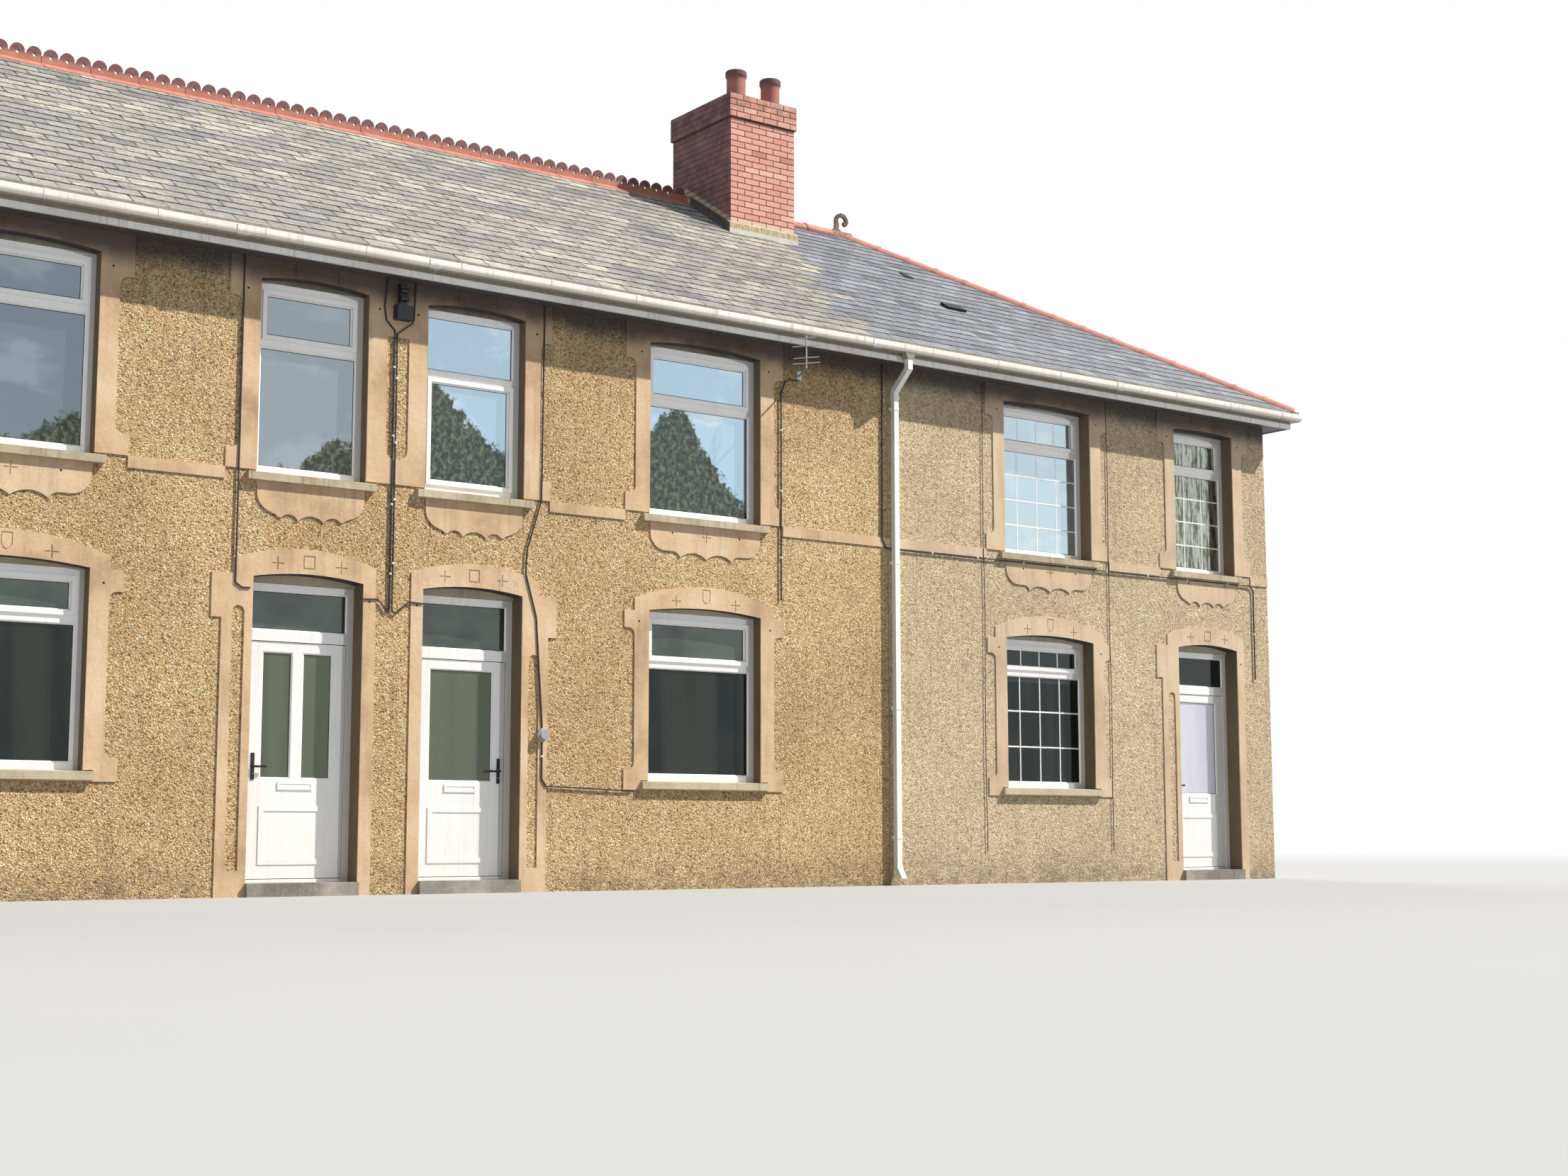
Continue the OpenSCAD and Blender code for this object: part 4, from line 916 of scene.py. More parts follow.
@dataclass(frozen=True)
class Flaunching(Mortar):
    """Cement round a stack's foot: bright low on the front, limewashed above, and darkened at the sides by
    painted shade.
    """

    lime_up: float = 0.070

    def skin(self, web: Web) -> Skin:
        """Wire the cement.

        Args:
            web: the material's nodes.

        Returns:
            The finish's skin.
        """
        plain = super().skin(web)
        mottle = MOTTLE.use(web, Scale=4.0)
        _, y, z = web.axes()
        over = z + abs(y) * ROW.slope + (mottle["Fine"] - 0.5) * 0.05
        limed_from = ROW.ridge_z + self.lime_up
        wash = web.fade(over, limed_from - 0.015, limed_from + 0.015)
        runs = web.grain((22.0, 22.0, 5.0), 4.0, 0.7)
        limed = web.mix(web.fade(runs, 0.42, 0.62), tint(214, 202, 162), tint(176, 150, 112))
        colour = web.mix(wash, plain.colour, limed)
        # painted shade on the faces that look along x
        facing = abs(web.axes(web.facing())[0])
        colour = web.mix(web.fade(facing, 0.3, 0.6) * 0.88, colour, tint(58, 58, 68))
        return Skin(colour, plain.roughness, plain.normal)


@dataclass(frozen=True)
class Paint(Finish):
    """Gloss paint on the fascia and soffit boards, chalky and dusty with age, with painted shade on the
    soffit and a painted shadow of the gutter along the fascia.
    """

    base: Colour = tint(250, 242, 230)
    dust: Colour = tint(170, 158, 140)
    # colour of the painted shade on the soffit
    under: Colour = tint(32, 37, 50)
    soffit_w: float = 0.230
    gutter_shadow_z: float = 5.773

    def skin(self, web: Web) -> Skin:
        """Wire the paint.

        Args:
            web: the material's nodes.

        Returns:
            The finish's skin.
        """
        mottle = MOTTLE.use(web, Scale=2.0)
        rain = RAIN.use(web)
        colour = web.mix(mottle["Fine"] * 0.3, self.base, self.dust)
        colour = web.mix(rain["Streak"] * 0.3, colour, self.dust)
        x, y, z = web.axes()
        ahead = ROW.half_d + self.soffit_w
        aside = ROW.half_l + self.soffit_w
        inside = web.fade(abs(y), ahead + 0.002, ahead - 0.002)
        inside *= web.fade(abs(x), aside + 0.002, aside - 0.002)
        # painted shadow of the gutter along the top of the fascia
        gutter_shadow = web.fade(z, self.gutter_shadow_z - 0.005, self.gutter_shadow_z + 0.005) * (0.6 + mottle["Fine"] * 0.4)
        colour = web.mix(gutter_shadow * 0.85, colour, tint(96, 84, 68))
        # painted shade on the soffit, inside the fascia line
        colour = web.mix(inside * 0.92, colour, self.under)
        grain = web.grain((2.0, 60.0, 60.0), 4.0, 0.6)
        return Skin(colour, 0.5, web.relief(grain, 0.0008))


@dataclass(frozen=True)
class Boards(Finish):
    """Softwood floor boards that run from party wall to party wall."""

    board: float = 0.15
    light: Colour = tint(176, 138, 94)
    dark: Colour = tint(132, 96, 60)

    def skin(self, web: Web) -> Skin:
        """Wire the boards.

        Args:
            web: the material's nodes.

        Returns:
            The finish's skin.
        """
        run = web.axes()[1] / self.board
        shift = web.give("CombineXYZ", {0: web.calc("FLOOR", run) * 3.7, 1: 0.0, 2: 0.0})
        moved = web.vector("ADD", web.stretch(web.place, 1.6, 28.0, 28.0), shift)
        grain = web.noise(moved, 1.0, 6.0, 0.65)
        colour = web.mix(grain, self.dark, self.light)
        part = web.calc("FRACT", run)
        joint = web.most(web.fade(part, 0.03, 0.0), web.fade(part, 0.97, 1.0))
        colour = web.mix(joint * 0.8, colour, tint(52, 38, 26))
        height = grain - joint * 2.0
        return Skin(colour, 0.6, web.relief(height, 0.0015))


@dataclass(frozen=True)
class Plastic(Finish):
    """Extruded or moulded plastic: a soft sheen, a little yellowing, rain grime at the edges."""

    base: Colour = tint(255, 252, 246)
    aged: Colour = tint(246, 244, 238)
    grime: Colour = tint(120, 116, 106)
    dirt: float = 0.35
    gloss: float = 0.32
    coat: float = 0.0
    coat_ior: float = 2.5
    darken_from: float = -9.0
    darken_full: float = -10.0

    def skin(self, web: Web) -> Skin:
        """Wire the plastic.

        Args:
            web: the material's nodes.

        Returns:
            The finish's skin.
        """
        mottle = MOTTLE.use(web, Scale=1.6)
        rain = RAIN.use(web)
        colour = web.mix(web.fade(mottle["Soft"], 0.35, 0.7), self.base, self.aged)
        marks = web.most(rain["Streak"], web.fade(mottle["Fine"], 0.55, 0.75) * 0.5)
        colour = web.mix(marks * self.dirt, colour, self.grime)
        # darker towards the bottom, below a set height
        belly = web.fade(web.axes()[2], self.darken_from, self.darken_full)
        colour = web.mix(belly * 0.8, colour, tint(92, 78, 56))
        rough = self.gloss + marks * 0.3
        coat = {"Coat Weight": self.coat, "Coat IOR": self.coat_ior}
        return Skin(colour, rough, web.relief(mottle["Grit"], 0.0003), coat)


@dataclass(frozen=True)
class ShutDoor(Plastic):
    """A door that stays shut, made as one node: white plastic with its glass and black handle."""

    pane: Corners = ((0.4965, 3.59, 1.0455), (1.1745, 3.6225, 2.1865))
    handles: tuple[Corners, Corners] = (
        ((1.10, 3.641, 1.02), (1.27, 3.76, 1.29)),
        ((1.10, 3.45, 1.02), (1.27, 3.579, 1.29)),
    )

    def skin(self, web: Web) -> Skin:
        """Wire the door.

        Args:
            web: the material's nodes.

        Returns:
            The finish's skin.
        """
        plain = super().skin(web)
        home = HOUSE.use(web)
        local = web.give("CombineXYZ", {0: home["U"], 1: home["Depth"], 2: home["Height"]})
        boxes = (self.pane, *self.handles)
        pane, outer, inner = (WITHIN.use(web, Vector=local, Low=a, High=b)["Mask"] for a, b in boxes)
        handle = web.most(outer, inner)
        colour = web.mix(pane, plain.colour, tint(96, 104, 104))
        colour = web.mix(handle, colour, tint(38, 37, 36))
        rough = plain.roughness * (1.0 - pane * 0.8)
        return Skin(colour, rough, plain.normal)


@dataclass(frozen=True)
class Glass(Finish):
    """Sealed double glazing upstairs: a bright pane with painted reflections of sky, cloud and a soft dark
    skyline of trees.
    """

    # painted sky reflection: one tint a window, along x
    sky_reflections: tuple[tuple[float, Colour], ...] = (
        (-12.2, tint(150, 172, 190)),
        (-10.0, tint(158, 184, 202)),
        (-6.0, tint(126, 137, 148)),
        (-2.1, tint(154, 164, 172)),
        (0.0, tint(180, 207, 225)),
        (2.1, tint(186, 214, 232)),
        (6.0, tint(198, 221, 231)),
        (9.9, tint(172, 178, 170)),
    )
    # painted tree reflection: the height of its skyline along x, over the pane
    skyline: tuple[Span, ...] = (
        (-11.6, 0.30), (-10.6, 0.12), (-9.1, 0.20), (-7.7, 0.42), (-4.3, 0.04), (-3.4, 0.05), (-3.0, 0.22),
        (-2.8, 0.20), (-1.4, 0.0), (-0.9, 0.05), (-0.65, 0.24), (-0.3, 0.20), (0.4, 0.62), (0.6, 0.56),
        (1.0, 0.34), (1.3, 0.22), (2.8, 0.46), (3.1, 0.60), (3.3, 0.72), (3.6, 0.44), (3.95, 0.20),
        (4.2, 0.10), (6.0, -0.2), (9.5, -0.2), (10.5, 1.3), (11.7, 1.3),
    )
    # colours of the painted tree reflection
    reflected_tree_dark: Colour = tint(54, 59, 48)
    leaf: Colour = tint(112, 122, 100)
    below: float = 0.3
    reflected_trunks_from: float = 9.5
    gloss: float = 0.04

    def along(self, x: Wire | float) -> Wire | float:
        """Return how far along the row an x is, from 0 to 1."""
        return (x + ROW.half_l) / (2 * ROW.half_l)

    def skin(self, web: Web) -> Skin:
        """Wire the glass.

        Args:
            web: the material's nodes.

        Returns:
            The finish's skin.
        """
        x, _, z = web.axes()
        sky_reflections = web.ramp(self.along(x), [(self.along(at), colour) for at, colour in self.sky_reflections], "CONSTANT")
        drift = web.grain((1.1, 0.0, 1.9), 5.0, 0.55)
        blue = web.calc("GREATER_THAN", x, 0.0)
        cloud = web.fade(drift, 0.5, 0.64) * (0.15 + blue * 0.6)
        colour = web.mix(cloud, sky_reflections, tint(218, 234, 240))
        levels = [(self.along(at), (*[high + self.below] * 3, 1.0)) for at, high in self.skyline]
        edge = web.grain((8.0, 0.0, 8.0), 7.0, 0.72)
        level = web.ramp(self.along(x), levels) - self.below + (edge - 0.5) * 0.42
        up = (z - ROW.sill_up) / (ROW.spring_up - ROW.sill_up)
        mask = web.fade(level - up, -0.01, 0.03)
        flecks = web.grain((20.0, 0.0, 16.0), 5.0, 0.66)
        reflected_leaves = web.mix(web.fade(flecks, 0.42, 0.66), self.reflected_tree_dark, self.leaf)
        reflected_trunks = web.grain((17.0, 0.0, 2.6), 5.0, 0.7)
        tones = [(0.34, self.reflected_tree_dark), (0.46, self.leaf), (0.55, tint(196, 202, 196)), (0.66, tint(92, 96, 78))]
        reflected_leaves = web.mix(web.calc("GREATER_THAN", x, self.reflected_trunks_from), reflected_leaves, web.ramp(reflected_trunks, tones))
        colour = web.mix(mask * 0.94, colour, reflected_leaves)
        smear = web.noise(web.place, 5.0, 4.0, 0.7)
        rough = self.gloss + web.fade(smear, 0.5, 0.8) * 0.05
        return Skin(colour, rough, None, {"IOR": 1.52, "Metallic": 0.8})


@dataclass(frozen=True)
class DimGlass(Glass):
    """Glass downstairs, where the dark room shows behind it: folds of a curtain, paler top lights."""

    room: Colour = tint(36, 44, 45)
    fold: Colour = tint(56, 61, 56)
    top: Colour = tint(98, 107, 102)
    split: float = 2.31
    grain: float = 0.0

    def skin(self, web: Web) -> Skin:
        """Wire the glass.

        Args:
            web: the material's nodes.

        Returns:
            The finish's skin.
        """
        folds = web.grain((3.6, 0.0, 0.3), 1.0, 0.5)
        colour = web.mix(web.fade(folds, 0.36, 0.66), self.room, self.fold)
        blots = web.grain((1.7, 0.0, 2.4), 3.0, 0.55)
        colour = web.mix(web.fade(blots, 0.46, 0.7) * 0.35, colour, self.fold)
        dim = web.most(HOUSE.use(web)["Right"] * 0.7, web.fade(blots, 0.4, 0.72) * 0.45)
        above = web.fade(web.axes()[2], self.split - 0.01, self.split + 0.01)
        colour = web.mix(above, colour, web.mix(dim, self.top, self.room))
        fine = web.grain((260.0, 0.0, 90.0), 2.0, 0.7)
        colour = web.mix(web.fade(fine, 0.4, 0.6) * self.grain, colour, self.top)
        rough = self.gloss + web.fade(blots, 0.5, 0.8) * 0.05
        return Skin(colour, rough, None, {"IOR": 1.52, "Metallic": 0.6})


@dataclass(frozen=True)
class Metal(Finish):
    """Painted or plain metal, worn a little where hands and weather reach it."""

    base: Colour = tint(46, 44, 42)
    worn: Colour = tint(92, 88, 82)
    sheen: float = 0.42

    def skin(self, web: Web) -> Skin:
        """Wire the metal.

        Args:
            web: the material's nodes.

        Returns:
            The finish's skin.
        """
        mottle = MOTTLE.use(web, Scale=14.0)
        wear = web.fade(mottle["Fine"], 0.5, 0.75) * 0.6
        colour = web.mix(wear, self.base, self.worn)
        rough = self.sheen + wear * 0.3
        return Skin(colour, rough, web.relief(mottle["Grit"], 0.0003), {"Metallic": 0.6})


WHITE = Plastic("white_plastic", dirt=0.14, coat=1.0)
SHEATH = Plastic("cable_sheath", tint(22, 20, 20), tint(34, 31, 28), tint(90, 80, 66), 0.2, 0.6)


# Modelling


class Pick(Enum):
    """What is selected in edit mode."""

    POINTS = 0
    EDGES = 1
    FACES = 2


class Bench:
    """The modelling bench: a primitive is put on it, shaped in edit mode, and taken off."""

    @staticmethod
    def clear() -> None:
        """Deselect everything."""
        bpy.ops.object.select_all(action="DESELECT")

    @staticmethod
    def block(name: str, low: Sequence[float], high: Sequence[float]) -> Thing:
        """Put a block on the bench.

        Args:
            name: its name.
            low: its lowest corner.
            high: its highest corner.

        Returns:
            The block, with its place and size in its mesh.
        """
        Bench.clear()
        middle = [(a + b) / 2 for a, b in zip(low, high)]
        size = [b - a for a, b in zip(low, high)]
        bpy.ops.mesh.primitive_cube_add(size=1, location=middle, scale=size)
        return Bench.settle(name)

    @staticmethod
    def drum(name: str, radius: float, low: float, high: float, sides: int) -> Thing:
        """Put an upright cylinder on the bench.

        Args:
            name: its name.
            radius: its radius.
            low: height of its foot.
            high: height of its top.
            sides: how many sides it has.

        Returns:
            The cylinder.
        """
        Bench.clear()
        bpy.ops.mesh.primitive_cylinder_add(
            vertices=sides, radius=radius, depth=high - low, location=(0, 0, (low + high) / 2)
        )
        return Bench.settle(name)

    @staticmethod
    def boss(name: str, radius: float, low: float, high: float, sides: int, steps: Sequence[Span]) -> Thing:
        """Turn a boss: an upright cylinder whose top is stepped inwards.

        Args:
            name: its name.
            radius: its radius.
            low: height of its foot.
            high: height of its rim.
            sides: how many sides it has.
            steps: how far each step goes in, and how far up or down.

        Returns:
            The boss.
        """
        boss = Bench.drum(name, radius, low, high, sides)
        Bench.pick(boss, Pick.FACES, lambda at: at.z > high - 1e-4)
        for inset, rise in steps:
            bpy.ops.mesh.inset(thickness=inset)
            bpy.ops.transform.translate(value=(0, 0, rise))
        Bench.done()
        return boss

    @staticmethod
    def chamfer(thing: Thing, test: Callable[[Vector], bool], offset: float, segments: int = 1) -> None:
        """Bevel some edges, and stay in edit mode.

        Args:
            thing: what is on the bench.
            test: says of the middle of an edge whether it is bevelled.
            offset: width of the bevel.
            segments: how many faces it has.
        """
        Bench.pick(thing, Pick.EDGES, test)
        bpy.ops.mesh.bevel(offset=offset, segments=segments, affect="EDGES")

    @staticmethod
    def settle(name: str) -> Thing:
        """Name the active object and put its place and size in its mesh."""
        thing = bpy.context.active_object
        thing.name = name
        thing.data.name = name
        bpy.ops.object.transform_apply(location=True, rotation=True, scale=True)
        return thing

    @staticmethod
    def pick(thing: Thing, kind: Pick, test: Callable[[Vector], bool]) -> None:
        """Select by place, and stay in edit mode.

        Args:
            thing: what is on the bench.
            kind: points, edges or faces.
            test: says of a point, or the middle of an edge or face, whether it is selected.
        """
        if bpy.context.mode != "EDIT_MESH":
            bpy.ops.object.mode_set(mode="EDIT")
        bpy.context.tool_settings.mesh_select_mode = tuple(kind.value == n for n in range(3))
        bpy.ops.mesh.select_all(action="DESELECT")
        shape = bmesh.from_edit_mesh(thing.data)
        if kind is Pick.POINTS:
            for point in shape.verts:
                point.select = test(point.co)
        elif kind is Pick.EDGES:
            for edge in shape.edges:
                if test((edge.verts[0].co + edge.verts[1].co) / 2):
                    edge.select_set(True)
        else:
            for face in shape.faces:
                if test(face.calc_center_median()):
                    face.select_set(True)
        shape.select_flush_mode()
        bmesh.update_edit_mesh(thing.data)

    @staticmethod
    def done() -> None:
        """Leave edit mode."""
        bpy.ops.object.mode_set(mode="OBJECT")

    @staticmethod
    def lay(
        name: str, shape: Thing, places: Sequence[Matrix], marks: dict[str, Sequence[float]] | None = None
    ) -> Thing:
        """Copy a shape to many places, as one piece.

        Args:
            name: the piece's name.
            shape: what is copied; it is taken off the bench by the caller.
            places: one matrix a copy.
            marks: numbers of each copy, by attribute name.

        Returns:
            The piece.
        """
        points = np.array([[*v.co, 1.0] for v in shape.data.vertices])
        moves = np.array([[list(row) for row in place] for place in places])
        laid = np.einsum("nij,vj->nvi", moves, points)[:, :, :3].reshape(-1, 3)
        faces = [tuple(f.vertices) for f in shape.data.polygons]
        step = len(points)
        every = [tuple(v + step * n for v in face) for n in range(len(places)) for face in faces]
        mesh = bpy.data.meshes.new(name)
        mesh.from_pydata(laid.tolist(), [], every)
        kept = {key: np.repeat(np.array(values, float), step) for key, values in (marks or {}).items()}
        for layer in shape.data.attributes:
            if layer.name in ("up", "across"):
                own = np.zeros(step)
                layer.data.foreach_get("value", own)
                kept[layer.name] = np.tile(own, len(places))
        for key, values in kept.items():
            mesh.attributes.new(key, "FLOAT", "POINT").data.foreach_set("value", values)
        mesh.update()
        piece = bpy.data.objects.new(name, mesh)
        bpy.context.scene.collection.objects.link(piece)
        return piece

    @staticmethod
    def scrap(thing: Thing) -> None:
        """Take a shape off the bench once it has been copied."""
        bpy.data.objects.remove(thing)


def hand_over(piece: Thing, body: str, finish: Finish) -> None:
    """Dress a finished piece, hang it on its body and report it.

    Args:
        piece: the piece.
        body: the body that it rides on.
        finish: its finish.
    """
    finish.dress(piece)
    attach(piece, body)
    log.info("piece %s on %s: %d faces, %s", piece.name, body, len(piece.data.polygons), finish.name)


@dataclass(frozen=True)
class Girdle:
    """Four strips round the eaves: place, thickness (outwards if above 0), foot, head, and rounded edge."""

    name: str
    aside: float
    ahead: float
    out: float
    low: float
    high: float
    worn: float
    radius: float

    def fit(self, slot: str, finish: Finish) -> None:
        """Make the strips and hand them over.

        Args:
            slot: the record's material slot.
            finish: their finish.
        """
        wide, deep = self.aside + self.out, self.ahead + self.out
        for tag, x, y in (("front", 0, -1), ("rear", 0, 1), ("left", -1, 0), ("right", 1, 0)):
            near = (x * self.aside or -self.aside, y * self.ahead or -self.ahead, self.low)
            far = (x * wide or self.aside, y * deep or self.ahead, self.high)
            low, high = (tuple(map(choose, near, far)) for choose in (min, max))
            strip = Bench.block(f"{self.name}_{tag}", low, high)
            Bench.chamfer(strip, lambda at: abs(at.z - self.worn) < 1e-4, self.radius, 2)
            Bench.done()
            hand_over(strip, "building", finish)


# Roof


@dataclass(frozen=True)
class Slope:
    """One side of the roof: drawn as if it faced the front, then turned about the upright axis."""

    name: str
    turn: float
    shift: float
    top: float

    def half_width(self, depth: float) -> float:
        """Return half the slope's width at a distance from the ridge."""
        return self.top + depth

    def matrix(self) -> Matrix:
        """Return the move from the drawn slope to its place."""
        return Matrix.Translation((self.shift, 0, 0)) @ Matrix.Rotation(math.radians(self.turn), 4, "Z")


@dataclass
class Roof:
    """The slates of all four slopes, course by course, and the strip that leads their water to the gutter."""

    slate_w: float = 0.315
    slate_l: float = 0.226
    slate_t: float = 0.0065
    joint: float = 0.0048
    corner: float = 0.008
    bulge: Place = (0.012, 0.0028, 0)
    hollow: Place = (-0.010, -0.0022, 0)
    courses: int = 24
    lift: float = 0.001
    rise: float = 0.008
    overhang: float = 0.022
    head_gap: float = 0.045
    slack: float = 0.003
    skew: float = 0.4
    slipped: float = 0.012
    seam: tuple[float, float, float] = (5.3, 0.48, 4.24)
    finish: Finish = Slates("slates")
    drip: Girdle = Girdle("drip", 12.581, 4.171, -0.003, 5.880, 5.945, 5.945, 0.001)
    strip: Finish = Mortar("drip_strip", tint(176, 170, 162), tint(150, 145, 138), 0.4)

    def template(self) -> Thing:
        """Model one slate, its tail at y = 0: snapped corners and a dressed, uneven tail.

        Returns:
            The slate.
        """
        half = (self.slate_w - self.joint) / 2
        slate = Bench.block("slate", (-half, 0, 0), (half, self.slate_l, self.slate_t))
        Bench.chamfer(slate, lambda at: at.y < 1e-4 and abs(at.x) > half - 1e-4, self.corner)
        Bench.pick(slate, Pick.EDGES, lambda at: at.y < 1e-4 and abs(at.x) < 0.01)
        bpy.ops.mesh.subdivide(number_cuts=2)
        for side, bend in ((1, self.bulge), (-1, self.hollow)):
            Bench.pick(slate, Pick.POINTS, lambda at: at.y < 1e-4 and 0.01 < at.x * side < half - 0.02)
            bpy.ops.transform.translate(value=bend)
        Bench.done()
        for name, axis, whole in (("up", 1, self.slate_l), ("across", 0, half)):
            layer = slate.data.attributes.new(name, "FLOAT", "POINT")
            layer.data.foreach_set("value", [v.co[axis] / whole for v in slate.data.vertices])
        return slate

    def age_at(self, slope: Slope, at: Vector, dice: random.Random) -> float:
        """Return how much lichen a slate carries: the right-hand house was re-slated.

        Args:
            slope: the slope that it is on.
            at: its place in the row.
            dice: random numbers.

        Returns:
            A number from 0 to 1.
        """
        start, lean, foot = self.seam
        line = ROW.house_w if slope.turn == 180 else start + lean * (at.y + foot)
        old = at.x < line + dice.uniform(-0.24, 0.24)
        worn = 0.88 + 0.06 * math.sin(at.x * 0.9 + at.z) + dice.gauss(0, 0.13)
        return min(1.0, worn) if old else max(0.0, 0.06 + dice.uniform(-0.08, 0.1))

    def cover(self, slope: Slope, slate: Thing, dice: random.Random) -> Thing:
        """Slate one slope.

        Args:
            slope: the slope.
            slate: the slate that is copied.
            dice: random numbers.

        Returns:
            The slope's slates as one piece.
        """
        angle = math.atan(ROW.slope)
        length = ROW.eave / math.cos(angle)
        gauge = (length + self.overhang - self.head_gap) / self.courses
        tilt = -math.asin(self.rise / self.slate_l)
        places: list[Matrix] = []
        marks: dict[str, list[float]] = {"tone": [], "age": []}
        plane = Matrix.Translation((0, -ROW.eave, ROW.edge_z)) @ Matrix.Rotation(angle, 4, "X")
        for course in range(self.courses):
            tail = course * gauge - self.overhang
            depth = ROW.eave - tail * math.cos(angle)
            count = math.ceil(slope.half_width(depth) / self.slate_w) + 1
            for number in range(-count, count + 1):
                x = (number + 0.5 * (course % 2)) * self.slate_w
                if abs(x) > slope.half_width(depth) + self.slate_w / 2:
                    continue
                slip = dice.uniform(0.006, 0.02) if dice.random() < self.slipped else 0.0
                across = x + dice.uniform(-self.slack, self.slack)
                up = tail - slip + dice.gauss(0, self.slack)
                at = slope.matrix() @ plane @ Matrix.Translation((across, up, self.lift + self.rise))
                turn = Matrix.Rotation(math.radians(dice.gauss(0, self.skew)), 4, "Z")
                place = at @ turn @ Matrix.Rotation(tilt + dice.uniform(0, 0.004), 4, "X")
                middle = place @ Vector((0, gauge / 2, 0))
                if self.in_stack(middle):
                    continue
                places.append(place)
                marks["tone"].append(dice.random())
                marks["age"].append(self.age_at(slope, middle, dice))
        piece = Bench.lay(slope.name, slate, places, marks)
        self.trim(piece, slope)
        return piece

    def in_stack(self, at: Vector) -> bool:
        """Return whether a slate would lie wholly inside a chimney stack."""
        return 6.0 < abs(at.x) < 6.74 and -0.83 < at.y < 0.18

    def trim(self, piece: Thing, slope: Slope) -> None:
        """Cut a slope's slates along its two hips.

        Args:
            piece: the slates.
            slope: the slope.
        """
        Bench.clear()
        bpy.context.view_layer.objects.active = piece
        piece.select_set(True)
        for side in (-1, 1):
            out = slope.matrix().to_3x3() @ Vector((side, 1, 0))
            edge = slope.matrix() @ Vector((side * slope.top, 0, ROW.ridge_z))
            bpy.ops.object.mode_set(mode="EDIT")
            bpy.ops.mesh.select_all(action="SELECT")
            bpy.ops.mesh.bisect(plane_co=edge, plane_no=out, clear_outer=True, use_fill=True)
            bpy.ops.object.mode_set(mode="OBJECT")

    def build(self) -> None:
        """Slate the front, the rear and both hipped ends."""
        dice = random.Random(311)
        slate = self.template()
        slopes = (
            Slope("slates_front", 0, 0, ROW.apex_x),
            Slope("slates_rear", 180, 0, ROW.apex_x),
            Slope("slates_right_end", 90, ROW.apex_x, 0),
            Slope("slates_left_end", -90, -ROW.apex_x, 0),
        )
        for slope in slopes:
            hand_over(self.cover(slope, slate, dice), "building", self.finish)
        Bench.scrap(slate)
        self.drip.fit("slate", self.strip)


# Chimneys


@dataclass
class Chimneys:
    """Brick faces of the two stacks, with recessed joints."""

    low_x: float = 5.880
    width: float = 0.980
    low_y: float = -0.960
    depth: float = 1.270
    top: float = 9.700
    course: float = 0.075
    cap: int = 4
    cap_out: float = 0.024
    joint: float = 0.010
    half_brick: float = 0.109
    proud: float = 0.005
    arris: float = 0.0028
    rows: int = 25
    lap: float = 0.005
    tuck: float = 0.008
    above_slates: float = 0.03
    finish: Finish = Brick("stack_brick")

    def template(self) -> Thing:
        """Model one brick face, a metre long, with worn arrises.

        Returns:
            The brick, its face towards -Y.
        """
        high = self.course - self.joint
        brick = Bench.block("brick", (-0.5, -self.proud, -high / 2), (0.5, 0.007, high / 2))
        Bench.chamfer(brick, lambda at: at.y < -self.proud + 1e-4, self.arris)
        Bench.done()
        return brick

    def face(self, along: float, flush: int) -> list[tuple[float, float]]:
        """Set out one course of a face.

        Args:
            along: the face's length.
            flush: 0 if the course starts with a whole brick, 1 if it starts with a half.

        Returns:
            Start and length of each brick.
        """
        halves = round(along / self.half_brick)
        half = along / halves
        laid = []
        at = 0
        while at < halves:
            size = 1 if (at == 0 and flush) else min(2, halves - at)
            laid.append((at * half, size * half - self.joint))
            at += size
        return laid

    def courses(self, turn: int, dice: random.Random) -> tuple[list[Matrix], list[float]]:
        """Lay the bricks of one face of the right-hand stack.

        Args:
            turn: quarter turns from the front face.
            dice: random numbers.

        Returns:
            Where the bricks go, and their tones.
        """
        places: list[Matrix] = []
        tones: list[float] = []
        ahead = turn % 2 == 0
        wide, out = (self.width, self.depth / 2) if ahead else (self.depth, self.width / 2)
        wide += 2 * (self.lap if ahead else -self.tuck)
        centre = Matrix.Translation((self.low_x + self.width / 2, self.low_y + self.depth / 2, 0))
        for row in range(self.rows):
            grow = self.cap_out if row < self.cap else 0.0
            z = self.top - (row + 0.5) * self.course
            reach = wide + 2 * grow
            for start, length in self.face(reach, (row + turn) % 2):
                middle = start + (length + self.joint) / 2 - reach / 2
                flat = Matrix.Translation((middle, -out - grow, z)) @ Matrix.Diagonal((length, 1, 1, 1))
                place = centre @ Matrix.Rotation(turn * math.pi / 2, 4, "Z") @ flat
                if z + self.course / 2 < ROW.roof_z(place.translation.y) + self.above_slates:
                    continue
                places.append(place)
                tones.append(min(1.0, max(0.0, dice.gauss(0.55, 0.24))))
        return places, tones

    def build(self) -> None:
        """Face both stacks."""
        dice = random.Random(77)
        brick = self.template()
        for side, name in ((0, "bricks_right_stack"), (1, "bricks_left_stack")):
            places: list[Matrix] = []
            tones: list[float] = []
            for turn in range(4):
                more, shades = self.courses(turn, dice)
                places += more
                tones += shades
            if side:
                places = [self.mirrored(place) for place in places]
            piece = Bench.lay(name, brick, places, {"tone": tones})
            hand_over(piece, "building", self.finish)
        Bench.scrap(brick)

    def mirrored(self, place: Matrix) -> Matrix:
        """Return a brick's place on the other stack, without turning it inside out."""
        flip = Matrix.Diagonal((-1, 1, 1, 1))
        return flip @ place @ flip


# Windows and doors


